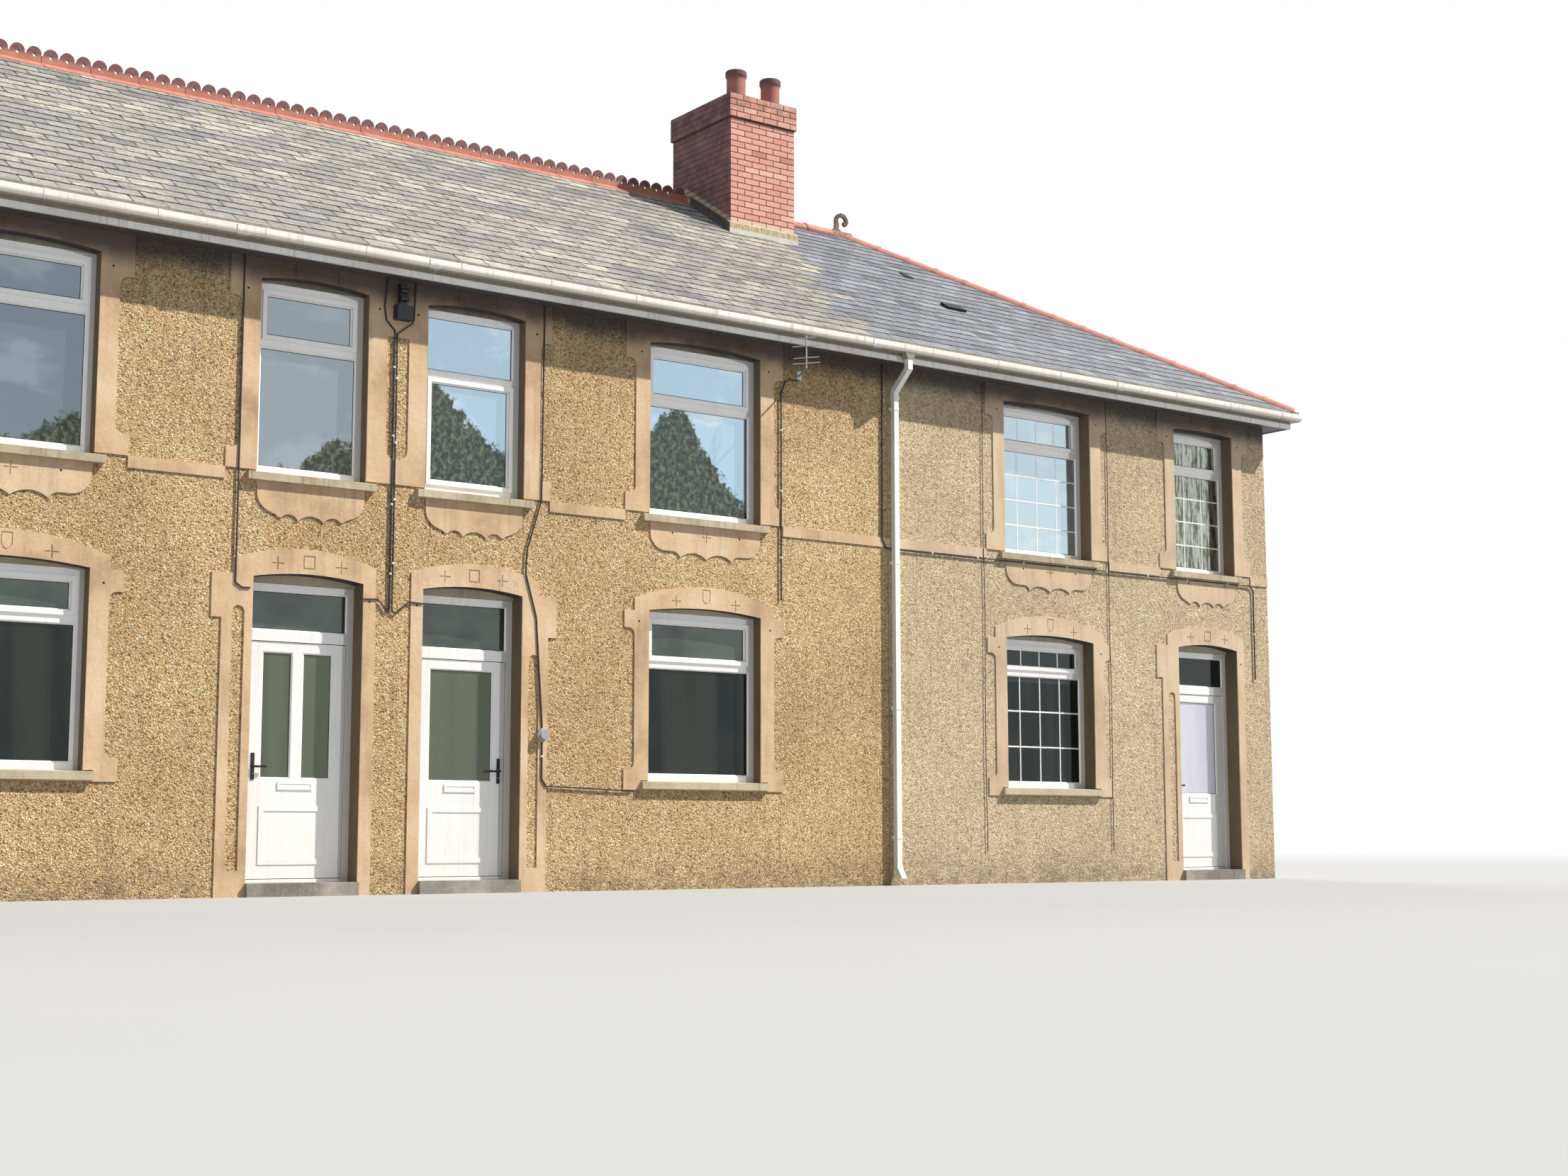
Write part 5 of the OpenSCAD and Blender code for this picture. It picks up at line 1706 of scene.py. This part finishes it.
@dataclass(frozen=True)
class Pane:
    """One pane: its lower left corner, its size, the face of its glass, its side and its body."""

    x: float
    z: float
    wide: float
    high: float
    face: float
    side: Side
    body: str = "building"

    def matrix(self) -> Matrix:
        """Return the move from the pane's corner, drawn flat against y = 0, to its place."""
        x = self.x if self.side is Side.FRONT else -self.x - self.wide
        return self.side.turn() @ Matrix.Translation((x, -self.face, self.z))


@dataclass
class Glazing:
    """Beads and gaskets round each pane, and the glazing bars of the last house."""

    set_back: float = 0.143
    last_set_back: float = 0.193
    frame_w: float = 0.062
    sash_w: float = 0.048
    bead_w: float = 0.014
    bead_t: float = 0.013
    bead_chamfer: float = 0.009
    gasket_w: float = 0.004
    gasket_t: float = 0.003
    bar_w: float = 0.018
    bar_t: float = 0.004
    bar_chamfer: float = 0.003
    fan_u: float = 0.366
    fan_w: float = 0.942
    fan_foot: float = 2.377
    fan_head: float = 2.741
    fan_in: float = 0.213
    leaf_u: float = 0.496
    leaf_w: float = 0.679
    leaf_foot: float = 1.045
    leaf_head: float = 2.187
    leaf_in: float = 0.218
    light_u: float = 0.8855
    light_w: float = 0.2895
    lower: float = 0.075
    rubber: Finish = Metal("gasket_rubber", tint(40, 42, 44), tint(70, 72, 74), 0.6)

    def lights(self, house: int) -> tuple[float, float, float]:
        """Return the depths of the wide, narrow and ground floor top lights of a house."""
        return {3: (0.582, 0.622, 0.536), 4: (0.492, 0.492, 0.386)}.get(house, (0.502, 0.567, 0.441))

    def window(self, house: int, across: Span, up: Span, light: float, low: bool, side: Side) -> list[Pane]:
        """Set out the two panes of a window.

        Args:
            house: number of its house.
            across: where the opening starts, and its width.
            up: top of the sill at the frame, and springing of the head.
            light: depth of the top light.
            low: whether the lower pane is the one in a sash.
            side: side of the row.

        Returns:
            The lower and the upper pane.
        """
        (u, wide), (sill, spring) = across, up
        face = ROW.half_d - (self.last_set_back if house == 4 else self.set_back)
        x = ROW.low_x(house, u, wide)
        panes = []
        edge = self.frame_w
        rail = spring - light
        heights = ((sill + edge, rail - edge / 2), (rail + edge / 2, spring - edge))
        for upper, (foot, head) in enumerate(heights):
            sash = 0.0 if upper == low else self.sash_w
            inset = edge + sash
            panes.append(Pane(x + inset, foot + sash, wide - 2 * inset, head - foot - 2 * sash, face, side))
        return panes

    def windows(self, house: int, side: Side) -> list[Pane]:
        """Set out a house's windows on one side.

        Args:
            house: its number.
            side: side of the row.

        Returns:
            Their panes.
        """
        wide, narrow, ground = self.lights(house)
        beside, over = (ROW.win_u, ROW.win_w), (ROW.door_u, ROW.door_w)
        upstairs, downstairs = (ROW.sill_up, ROW.spring_up), (ROW.sill_low, ROW.spring_low)
        return [
            *self.window(house, beside, upstairs, wide, False, side),
            *self.window(house, over, upstairs, narrow, house == 3, side),
            *self.window(house, beside, downstairs, ground, False, side),
        ]

    def doors(self, house: int, side: Side) -> list[Pane]:
        """Set out the panes of a door and its fanlight.

        Args:
            house: number of its house.
            side: side of the row.

        Returns:
            The panes.
        """
        drop = self.lower if house == 3 else 0.0
        foot = self.fan_foot - drop
        x = ROW.low_x(house, self.fan_u, self.fan_w)
        panes = [Pane(x, foot, self.fan_w, self.fan_head - foot, ROW.half_d - self.fan_in, side)]
        body = f"door_{house}" if house > 1 and side is Side.FRONT else "building"
        high = self.leaf_head - drop - self.leaf_foot
        wide = self.light_w if house == 2 else self.leaf_w
        for start in (self.leaf_u, self.light_u) if house == 2 else (self.leaf_u,):
            x = ROW.low_x(house, start, wide)
            panes.append(Pane(x, self.leaf_foot, wide, high, ROW.half_d - self.leaf_in, side, body))
        return panes

    def strip(self, name: str, wide: float, thick: float, chamfer: float) -> Thing:
        """Model a metre of bead along x, its chamfer towards the pane and the viewer.

        Args:
            name: its name.
            wide: how far it reaches over the glass.
            thick: how far it stands out of the glass.
            chamfer: width of the chamfer.

        Returns:
            The strip.
        """
        strip = Bench.block(name, (0, -thick, 0), (1, 0, wide))
        Bench.chamfer(strip, lambda at: at.y < -thick + 1e-5 and at.z > wide - 1e-5, chamfer, 2)
        Bench.done()
        return strip

    def ring(self, pane: Pane, inset: float, wide: float) -> list[Matrix]:
        """Return the places of four strips round a pane.

        Args:
            pane: the pane.
            inset: how far they stand inside its edge.
            wide: their width.

        Returns:
            One matrix a strip: foot, head, left and right.
        """
        w = pane.wide - 2 * inset
        h = pane.high - 2 * inset
        corner = pane.matrix() @ Matrix.Translation((inset, 0, inset))
        foot = Matrix.Diagonal((w, 1, 1, 1))
        head = Matrix.Translation((w, 0, h)) @ Matrix.Rotation(math.pi, 4, "Y") @ foot
        upright = Matrix.Diagonal((h - 2 * wide, 1, 1, 1))
        left = Matrix.Translation((0, 0, h - wide)) @ Matrix.Rotation(math.pi / 2, 4, "Y") @ upright
        right = Matrix.Translation((w, 0, wide)) @ Matrix.Rotation(-math.pi / 2, 4, "Y") @ upright
        return [corner @ part for part in (foot, head, left, right)]

    def lattice(self, pane: Pane, uprights: int, rails: int) -> list[Matrix]:
        """Return the places of a pane's glazing bars.

        Args:
            pane: the pane.
            uprights: how many upright bars.
            rails: how many level bars.

        Returns:
            One matrix a bar.
        """
        places = []
        for n in range(uprights):
            x = pane.wide * (n + 1) / (uprights + 1)
            size = Matrix.Diagonal((pane.high, 1, 1, 1))
            places.append(Matrix.Translation((x, 0, 0)) @ Matrix.Rotation(-math.pi / 2, 4, "Y") @ size)
        for n in range(rails):
            z = pane.high * (n + 1) / (rails + 1)
            places.append(Matrix.Translation((0, 0.0006, z)) @ Matrix.Diagonal((pane.wide, 1, 1, 1)))
        return [pane.matrix() @ place for place in places]

    def bars(self, panes: Sequence[Pane]) -> list[Matrix]:
        """Set out the glazing bars of the last house: 4 by 4 in wide panes, 3 by 4 in narrow ones.

        Args:
            panes: all panes of its windows.

        Returns:
            One matrix a bar.
        """
        places: list[Matrix] = []
        for pane in panes:
            uprights = 3 if pane.wide > 1.0 else 2
            rails = 0 if pane.high < 0.5 else (2 if pane.z < 3 else 3)
            places += self.lattice(pane, uprights, rails)
        return places

    def build(self) -> None:
        """Fit beads, gaskets and bars to every window and door."""
        panes: list[Pane] = []
        barred: list[Pane] = []
        for side in Side:
            for house in HOUSES:
                panes += self.windows(house, side) + self.doors(house, side)
            barred += self.windows(4, side)
        bead = self.strip("bead", self.bead_w, self.bead_t, self.bead_chamfer)
        gasket = self.strip("gasket", self.gasket_w, self.gasket_t, self.gasket_t / 3)
        for body in ("building", "door_2", "door_3", "door_4"):
            tag = "" if body == "building" else "_" + body
            mine = [pane for pane in panes if pane.body == body]
            places = [m for pane in mine for m in self.ring(pane, 0, self.bead_w)]
            hand_over(Bench.lay("glazing_beads" + tag, bead, places), body, WHITE)
            places = [m for pane in mine for m in self.ring(pane, self.bead_w, self.gasket_w)]
            hand_over(Bench.lay("glazing_gaskets" + tag, gasket, places), body, self.rubber)
        bar = Bench.block("bar", (0, -self.bar_t, -self.bar_w / 2), (1, 0.001, self.bar_w / 2))
        Bench.chamfer(bar, lambda at: at.y < 1e-4 - self.bar_t and 0.01 < at.x < 0.99, self.bar_chamfer)
        Bench.done()
        hand_over(Bench.lay("glazing_bars", bar, self.bars(barred)), "building", WHITE)
        for shape in (bead, gasket, bar):
            Bench.scrap(shape)


@dataclass
class DoorFittings:
    """Lock barrels of the front doors, under their levers."""

    lever_u: float = 1.244
    z: float = 1.085
    face: float = 3.648
    radius: float = 0.0085
    proud: float = 0.006
    steps: tuple[Span, ...] = ((0.0015, 0.001), (0.0022, -0.0016))
    steel: Finish = Metal("lock_steel", tint(150, 148, 142), tint(96, 92, 86), 0.3)

    def build(self) -> None:
        """Turn a barrel, a collar with a recessed plug, and fit it to each front door's plate."""
        barrel = Bench.boss("barrel", self.radius, 0, self.proud, 16, self.steps)
        for house in HOUSES:
            body = "building" if house == 1 else f"door_{house}"
            place = Matrix.Translation((ROW.x_of(house, self.lever_u), -self.face, self.z))
            piece = Bench.lay(f"lock_barrel_{house}", barrel, [place @ Matrix.Rotation(math.pi / 2, 4, "X")])
            hand_over(piece, body, self.steel)
        Bench.scrap(barrel)


# Small fittings on the walls and the eaves


@dataclass
class WallFittings:
    """Studs in the render bands, the clips of the cables, and two thin cables on the last house."""

    pit_y: float = -3.846
    stud_r: float = 0.0095
    stud_steps: tuple[Span, ...] = ((0.003, 0.0022), (0.003, 0.0008))
    apron_out: float = 0.42
    apron_z: float = 3.605
    door_apron_out: float = 0.325
    door_apron_z: float = 3.635
    head_u: tuple[float, ...] = (2.725, 4.330, 0.199, 1.495)
    head_z: float = 5.440
    low_head_u: tuple[float, ...] = (2.710, 4.345, 0.242)
    low_head_z: float = 2.674
    cable_y: float = -3.852
    clip_pitch: float = 0.66
    drop_x: Span = (7.372, 9.382)
    drop_r: float = 0.0042
    drop_foot: float = 0.35
    drop_head: float = 5.727
    iron: Finish = Metal("stud_iron", tint(54, 40, 32), tint(98, 62, 42), 0.75)
    clip: Finish = Plastic("clip_plastic", tint(240, 240, 236), tint(226, 224, 216), dirt=0.25)

    def stud_places(self) -> list[tuple[float, float]]:
        """Return x and z of every stud."""
        middle = ROW.win_u + ROW.win_w / 2
        over_door = ROW.door_u + ROW.door_w / 2
        places = []
        for house in HOUSES:
            spots = [(middle + side * self.apron_out, self.apron_z) for side in (-1, 1)]
            if house in (1, 4):
                spots += [(over_door + side * self.door_apron_out, self.door_apron_z) for side in (-1, 1)]
            spots += [(u, self.head_z) for u in self.head_u]
            spots += [(u, self.low_head_z) for u in self.low_head_u]
            places += [(ROW.x_of(house, u), z) for u, z in spots]
        return places

    def studs(self) -> None:
        """Set a rusty domed head in every pit."""
        stud = Bench.boss("stud", self.stud_r, -0.001, 0.004, 12, self.stud_steps)
        turn = Matrix.Rotation(math.pi / 2, 4, "X")
        places = [Matrix.Translation((x, self.pit_y, z)) @ turn for x, z in self.stud_places()]
        hand_over(Bench.lay("band_studs", stud, places), "building", self.iron)
        Bench.scrap(stud)

    def runs(self) -> list[tuple[float, float, float, bool]]:
        """Return the straight runs of cable that are clipped: place, start, end, and whether upright."""
        gable = ROW.door_u + ROW.door_w + 0.172
        return [
            (-0.042, 2.62, 5.20, True),
            (-0.018, 2.74, 5.10, True),
            (gable + 0.058, 1.16, 1.38, True),
            (ROW.win_u + ROW.win_w + 0.262, 3.1, 5.2, True),
            (3.674, 6.25, 11.8, False),
            (2 * ROW.house_w + 0.020, 2.6, 3.5, True),
        ]

    def clips(self) -> None:
        """Fit clips over the cables, about three to every two metres."""
        clip = Bench.block("clip", (-0.011, -0.0145, -0.009), (0.011, 0.0, 0.009))
        Bench.chamfer(clip, lambda at: at.y < -0.014 and abs(at.x) > 0.010, 0.005, 3)
        Bench.pick(clip, Pick.FACES, lambda at: at.x > 0.0109)
        bpy.ops.mesh.extrude_region_move(TRANSFORM_OT_translate={"value": (0.007, 0, 0)})
        Bench.pick(clip, Pick.POINTS, lambda at: at.x > 0.0175 and at.y < -0.006)
        bpy.ops.transform.translate(value=(0, 0.005, 0))
        Bench.done()
        dice = random.Random(5)
        places = []
        for fixed, start, end, upright in self.runs():
            count = max(1, round((end - start) / self.clip_pitch))
            for n in range(count):
                along = start + (n + 0.5) * (end - start) / count + dice.uniform(-0.03, 0.03)
                at = (fixed, self.cable_y, along) if upright else (along, self.cable_y, fixed)
                turn = Matrix.Rotation(0 if upright else math.pi / 2, 4, "Y")
                places.append(Matrix.Translation(at) @ turn)
        hand_over(Bench.lay("cable_clips", clip, places), "building", self.clip)
        Bench.scrap(clip)

    def drops(self) -> None:
        """Run the two thin cables down the last house, from the eaves."""
        for side, x in zip(("left", "right"), self.drop_x):
            cable = Bench.drum(f"drop_cable_{side}", self.drop_r, self.drop_foot, self.drop_head, 8)
            Bench.pick(cable, Pick.EDGES, lambda at: self.drop_foot + 0.05 < at.z < self.drop_head - 0.1)
            bpy.ops.mesh.subdivide(number_cuts=5)
            Bench.done()
            for point in cable.data.vertices:
                bow = 0.008 * math.sin(point.co.z * 2.3 + x) + 0.004 * math.sin(point.co.z * 7.1)
                point.co.x += x + bow
                point.co.y += self.cable_y - 0.003
            hand_over(cable, "building", SHEATH)

    def build(self) -> None:
        """Fit studs, clips and the thin cables."""
        self.studs()
        self.clips()
        self.drops()


@dataclass
class Rainwater:
    """Unions that join the lengths of gutter, and the capping along the foot of the fascia."""

    unions: tuple[float, ...] = (-9.6, -5.7, -1.7, 0.19, 5.55, 9.3)
    centre: float = 4.146
    z: float = 5.905
    deep: float = 0.036
    inner: float = 0.0562
    outer: float = 0.0606
    wide: float = 0.110
    lip: float = 0.0022
    capping: Girdle = Girdle("capping", 12.500, 4.090, 0.004, 5.729, 5.788, 5.729, 0.0015)
    cap: Finish = Plastic("capping_plastic", tint(240, 238, 230), tint(206, 200, 186), dirt=0.5, coat=0.8)
    finish: Finish = Plastic(
        "union_plastic", tint(255, 254, 250), tint(240, 234, 220),
        dirt=0.3, coat=0.5, darken_from=5.83, darken_full=5.812
    )

    def template(self) -> Thing:
        """Model one union: a deep half-round sleeve with a raised lip at each end.

        Returns:
            The union, its axis along x and its rim at z = 0.
        """
        half = self.wide / 2
        Bench.clear()
        bpy.ops.mesh.primitive_plane_add(size=1, location=(0, 0, 0))
        sleeve = Bench.settle("union")
        Bench.pick(sleeve, Pick.POINTS, lambda at: at.y > 0)
        corners = [(-half, self.inner), (half, self.inner), (half, self.outer), (-half, self.outer)]
        shape = bmesh.from_edit_mesh(sleeve.data)
        loop = list(shape.faces[:][0].verts)
        for point, (x, y) in zip(loop, corners):
            point.co = (x, y, 0)
        bmesh.update_edit_mesh(sleeve.data)
        Bench.pick(sleeve, Pick.EDGES, lambda at: at.y > self.outer - 1e-5)
        bpy.ops.mesh.subdivide(number_cuts=4)
        Bench.pick(sleeve, Pick.POINTS, lambda at: at.y > self.outer - 1e-5 and abs(at.x) > 0.3 * half)
        bpy.ops.transform.translate(value=(0, self.lip, 0))
        bpy.ops.mesh.select_all(action="SELECT")
        bpy.ops.mesh.spin(steps=16, angle=math.pi, center=(0, 0, 0), axis=(1, 0, 0))
        bpy.ops.mesh.select_all(action="SELECT")
        bpy.ops.mesh.remove_doubles(threshold=1e-5)
        up = min(v.co.z for v in bmesh.from_edit_mesh(sleeve.data).verts) > -0.03
        turn = math.pi if up else 0.0
        bpy.ops.transform.rotate(value=turn, orient_axis="X", center_override=(0, 0, 0))
        bpy.ops.transform.translate(value=(0, 0, -self.deep))
        for side in (-1, 1):
            Bench.pick(sleeve, Pick.FACES, lambda at: at.z > -self.deep - 1e-4 and at.y * side > 0)
            bpy.ops.mesh.extrude_region_move(TRANSFORM_OT_translate={"value": (0, 0, self.deep)})
        bpy.ops.mesh.select_all(action="SELECT")
        bpy.ops.mesh.normals_make_consistent(inside=False)
        Bench.done()
        return sleeve

    def build(self) -> None:
        """Fit the unions along the front and the rear gutter, and the capping on every side."""
        union = self.template()
        moves = [Matrix.Translation((x, -self.centre, self.z)) for x in self.unions]
        places = [side.turn() @ move for side in Side for move in moves]
        hand_over(Bench.lay("gutter_unions", union, places), "building", self.finish)
        Bench.scrap(union)
        self.capping.fit("gutter_plastic", self.cap)


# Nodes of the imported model


@dataclass
class Shell:
    """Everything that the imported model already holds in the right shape, and its finishes."""

    def walls(self) -> None:
        """Dress walls, floors, steps and bands."""
        rough = Roughcast("roughcast")
        rough.dress_nodes("front_wall_left", "front_wall_right", "front_piers", "front_over_doors")
        rough.dress_nodes("rear_wall", "end_walls")
        SmoothRender("smooth_render").dress_nodes("upper_bands", "lower_bands")
        infill = SmoothRender("infill_render", tint(206, 194, 166), tint(218, 208, 184), tint(172, 160, 134))
        infill.dress_nodes("arch_infills")
        Plaster("plaster").dress_nodes("party_walls")
        Boards("floor_boards").dress_nodes("first_floor")
        Concrete("sill_concrete").dress_nodes("sills")
        steps = Concrete("step_concrete", tint(160, 154, 142), tint(120, 114, 104))
        steps.dress_nodes("ground_floor", "door_steps")

    def roof(self) -> None:
        """Dress the roof's boards, clay, cement and vents."""
        Underlay("underlay").dress_nodes("roof_front", "roof_rear", "roof_hips")
        crest = Clay(
            "crest_clay", tint(184, 118, 100), tint(210, 146, 124), tint(98, 68, 76), 0.24,
            dark_from=8.575, dark_to=8.64
        )
        crest.dress_nodes("crest_tiles")
        ridge = Clay("ridge_clay", tint(196, 126, 112), tint(222, 154, 138), cover=0.34, flank_shade=0.75)
        ridge.dress_nodes("plain_ridge_tiles")
        scroll = Clay(
            "scroll_clay", tint(128, 96, 80), tint(150, 118, 98), cover=0.4, dark_from=8.55, dark_to=8.8
        )
        scroll.dress_nodes("finials")
        pots = Clay(
            "pot_clay", tint(172, 108, 98), tint(194, 134, 122), tint(84, 66, 78), 0.22,
            dark_from=9.90, dark_to=10.05
        )
        pots.dress_nodes("chimney_pots")
        Mortar("joint_mortar", tint(128, 92, 78), tint(92, 66, 58)).dress_nodes("chimney_stacks")
        Flaunching("fillet_cement", tint(240, 236, 224), tint(212, 206, 190)).dress_nodes("chimney_fillets")
        Metal("vent_metal", tint(34, 36, 40), tint(50, 52, 56), 0.6).dress_nodes("roof_vents")

    def eaves(self) -> None:
        """Dress the eaves and everything that carries rain."""
        Paint("eaves_paint").dress_nodes("eaves_front", "eaves_rear", "eaves_ends")
        gutter = Plastic(
            "gutter_plastic", tint(254, 249, 238), tint(240, 232, 214),
            dirt=0.34, coat=0.4, darken_from=5.836, darken_full=5.818
        )
        gutter.dress_nodes("gutter_front", "gutter_rear", "gutter_ends")
        pipe = Plastic("pipe_plastic", tint(255, 254, 250), tint(242, 240, 232), dirt=0.14, coat=0.5)
        pipe.dress_nodes("downpipes")

    def openings(self) -> None:
        """Dress windows and doors."""
        WHITE.dress_nodes("window_frames_upper", "window_frames_lower")
        WHITE.dress_nodes(*(f"door_{house}_frame" for house in HOUSES))
        WHITE.dress_nodes("door_2_leaf", "door_3_leaf", "door_4_leaf")
        ShutDoor("shut_door").dress_nodes("fixed_doors")
        Glass("glass_upper").dress_nodes("glass_upper")
        DimGlass("glass_lower").dress_nodes("glass_lower")
        door = DimGlass(
            "glass_door", room=tint(78, 86, 76), fold=tint(98, 106, 90), top=tint(118, 126, 106),
            split=9.0, grain=0.5, gloss=0.3
        )
        door.dress_nodes("door_2_glass", "door_3_glass")
        milky = DimGlass(
            "glass_frosted", room=tint(204, 203, 214), fold=tint(218, 217, 226), top=tint(232, 232, 238),
            split=9.0, grain=0.4, gloss=0.4
        )
        milky.dress_nodes("door_4_glass")
        Metal("handle_black").dress_nodes("door_2_handle", "door_3_plates", "door_3_lever", "door_4_handle")

    def services(self) -> None:
        """Dress the fittings on the front."""
        black = Plastic("black_plastic", tint(30, 32, 36), tint(48, 48, 50), tint(92, 86, 76), 0.4, 0.45)
        black.dress_nodes("service_head")
        SHEATH.dress_nodes("wall_cables")
        Plastic("box_plastic", tint(178, 180, 182), tint(158, 156, 150), dirt=0.5).dress_nodes("wall_box")
        Metal("aerial_metal", tint(176, 178, 180), tint(140, 138, 132), 0.4).dress_nodes("tv_aerial")

    def build(self) -> None:
        """Dress every node."""
        self.walls()
        self.roof()
        self.eaves()
        self.openings()
        self.services()


# Studio


@dataclass(frozen=True)
class Sun:
    """A soft distant lamp: direction towards it, strength, apparent size in degrees, and colour."""

    name: str
    toward: Place
    strength: float
    angle: float
    colour: Place

    def light(self) -> None:
        """Add it to the scene."""
        data = bpy.data.lights.new(self.name, "SUN")
        data.energy = self.strength
        data.angle = math.radians(self.angle)
        data.color = self.colour
        lamp = bpy.data.objects.new(self.name, data)
        bpy.context.scene.collection.objects.link(lamp)
        lamp.rotation_mode = "QUATERNION"
        lamp.rotation_quaternion = Vector(self.toward).to_track_quat("Z", "Y")


@dataclass
class Studio:
    """Pale floor, plain world, soft lamps and the camera at the photograph's angle."""

    eye: Place = (-8.803, -21.638, 0.493)
    yaw: float = 36.852
    pitch: float = 6.784
    roll: float = -0.085
    focal_px: float = 2986.0
    width_px: float = 2212.0
    sky: float = 0.39
    sky_colour: Colour = (0.70, 0.82, 1.0, 1.0)
    suns: tuple[Sun, ...] = (
        Sun("sun", (0.56, -0.37, 0.74), 5.8, 0.7, (1.0, 0.965, 0.92)),
        Sun("rear_fill", (0.30, 0.80, 0.50), 1.0, 30.0, (0.94, 0.97, 1.0)),
    )

    def camera(self) -> None:
        """Stand the camera where the photograph was taken."""
        yaw, pitch, roll = (math.radians(v) for v in (self.yaw, self.pitch, self.roll))
        ahead = Vector((math.sin(yaw) * math.cos(pitch), math.cos(yaw) * math.cos(pitch), math.sin(pitch)))
        right = Vector((math.cos(yaw), -math.sin(yaw), 0))
        up = right.cross(ahead)
        side = right * math.cos(roll) + up * math.sin(roll)
        head = up * math.cos(roll) - right * math.sin(roll)
        data = bpy.data.cameras.new("camera")
        data.sensor_fit = "HORIZONTAL"
        data.sensor_width = 36.0
        data.lens = self.focal_px / self.width_px * data.sensor_width
        data.clip_end = 400
        camera = bpy.data.objects.new("camera", data)
        bpy.context.scene.collection.objects.link(camera)
        turn = Matrix((side, head, -ahead)).transposed().to_4x4()
        camera.matrix_world = Matrix.Translation(self.eye) @ turn
        bpy.context.scene.camera = camera

    def shown(self, web: Web) -> Wire:
        """Return a mask of the rays that see the plain background."""
        camera, glossy, through = (
            web.give("LightPath", give=f"Is {ray} Ray") for ray in ("Camera", "Glossy", "Transmission")
        )
        return web.most(web.most(camera, glossy), through)

    def world(self) -> None:
        """Light the scene from a plain sky that looks white."""
        world = bpy.data.worlds.new("plain_sky")
        web = Web.of(world)
        lit = web.give("Background", {"Color": self.sky_colour, "Strength": self.sky})
        white = web.give("Background", {"Color": tint(255, 255, 255), "Strength": 1.0})
        web.add("OutputWorld", {"Surface": web.give("MixShader", {0: self.shown(web), 1: lit, 2: white})})
        bpy.context.scene.world = world

    def floor(self) -> None:
        """Lay the pale floor, which runs out into the white background."""
        Bench.clear()
        bpy.ops.mesh.primitive_circle_add(vertices=96, radius=120, fill_type="NGON", location=(0, 0, 0))
        floor = Bench.settle("studio_floor")
        made = bpy.data.materials.new("pale_floor")
        web = Web.of(made)
        fine = web.noise(web.place, 0.4, 4.0, 0.6)
        pale = web.mix(fine, tint(168, 168, 167), tint(173, 173, 172))
        dull = web.mix(self.shown(web), tint(138, 138, 138), pale)
        shader = web.give("BsdfPrincipled", {"Base Color": dull, "Roughness": 0.9})
        far = web.fade(web.give("VectorMath", {0: web.place}, "Value", operation="LENGTH"), 22.0, 60.0)
        glow = web.give("Emission", {"Color": tint(255, 255, 255), "Strength": 1.0})
        both = web.give("MixShader", {0: far * self.shown(web), 1: shader, 2: glow})
        web.add("OutputMaterial", {"Surface": both})
        floor.data.materials.append(made)
        floor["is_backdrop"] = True

    def build(self) -> None:
        """Set up camera, world, lamps and floor."""
        self.camera()
        self.world()
        for sun in self.suns:
            sun.light()
        self.floor()
        bpy.context.scene.view_settings.view_transform = "Standard"


def corners() -> list[list[float]]:
    """Return the lowest and highest corner of what is shown, as plain lists."""
    return [list(corner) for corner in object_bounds()]


def main() -> None:
    """Build the row in order."""
    logging.basicConfig(level=logging.INFO, format="%(message)s")
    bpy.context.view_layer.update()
    for part in (Studio, Shell, Roof, Chimneys, Glazing, DoorFittings, WallFittings, Rainwater):
        part().build()


if __name__ == "__main__":
    main()
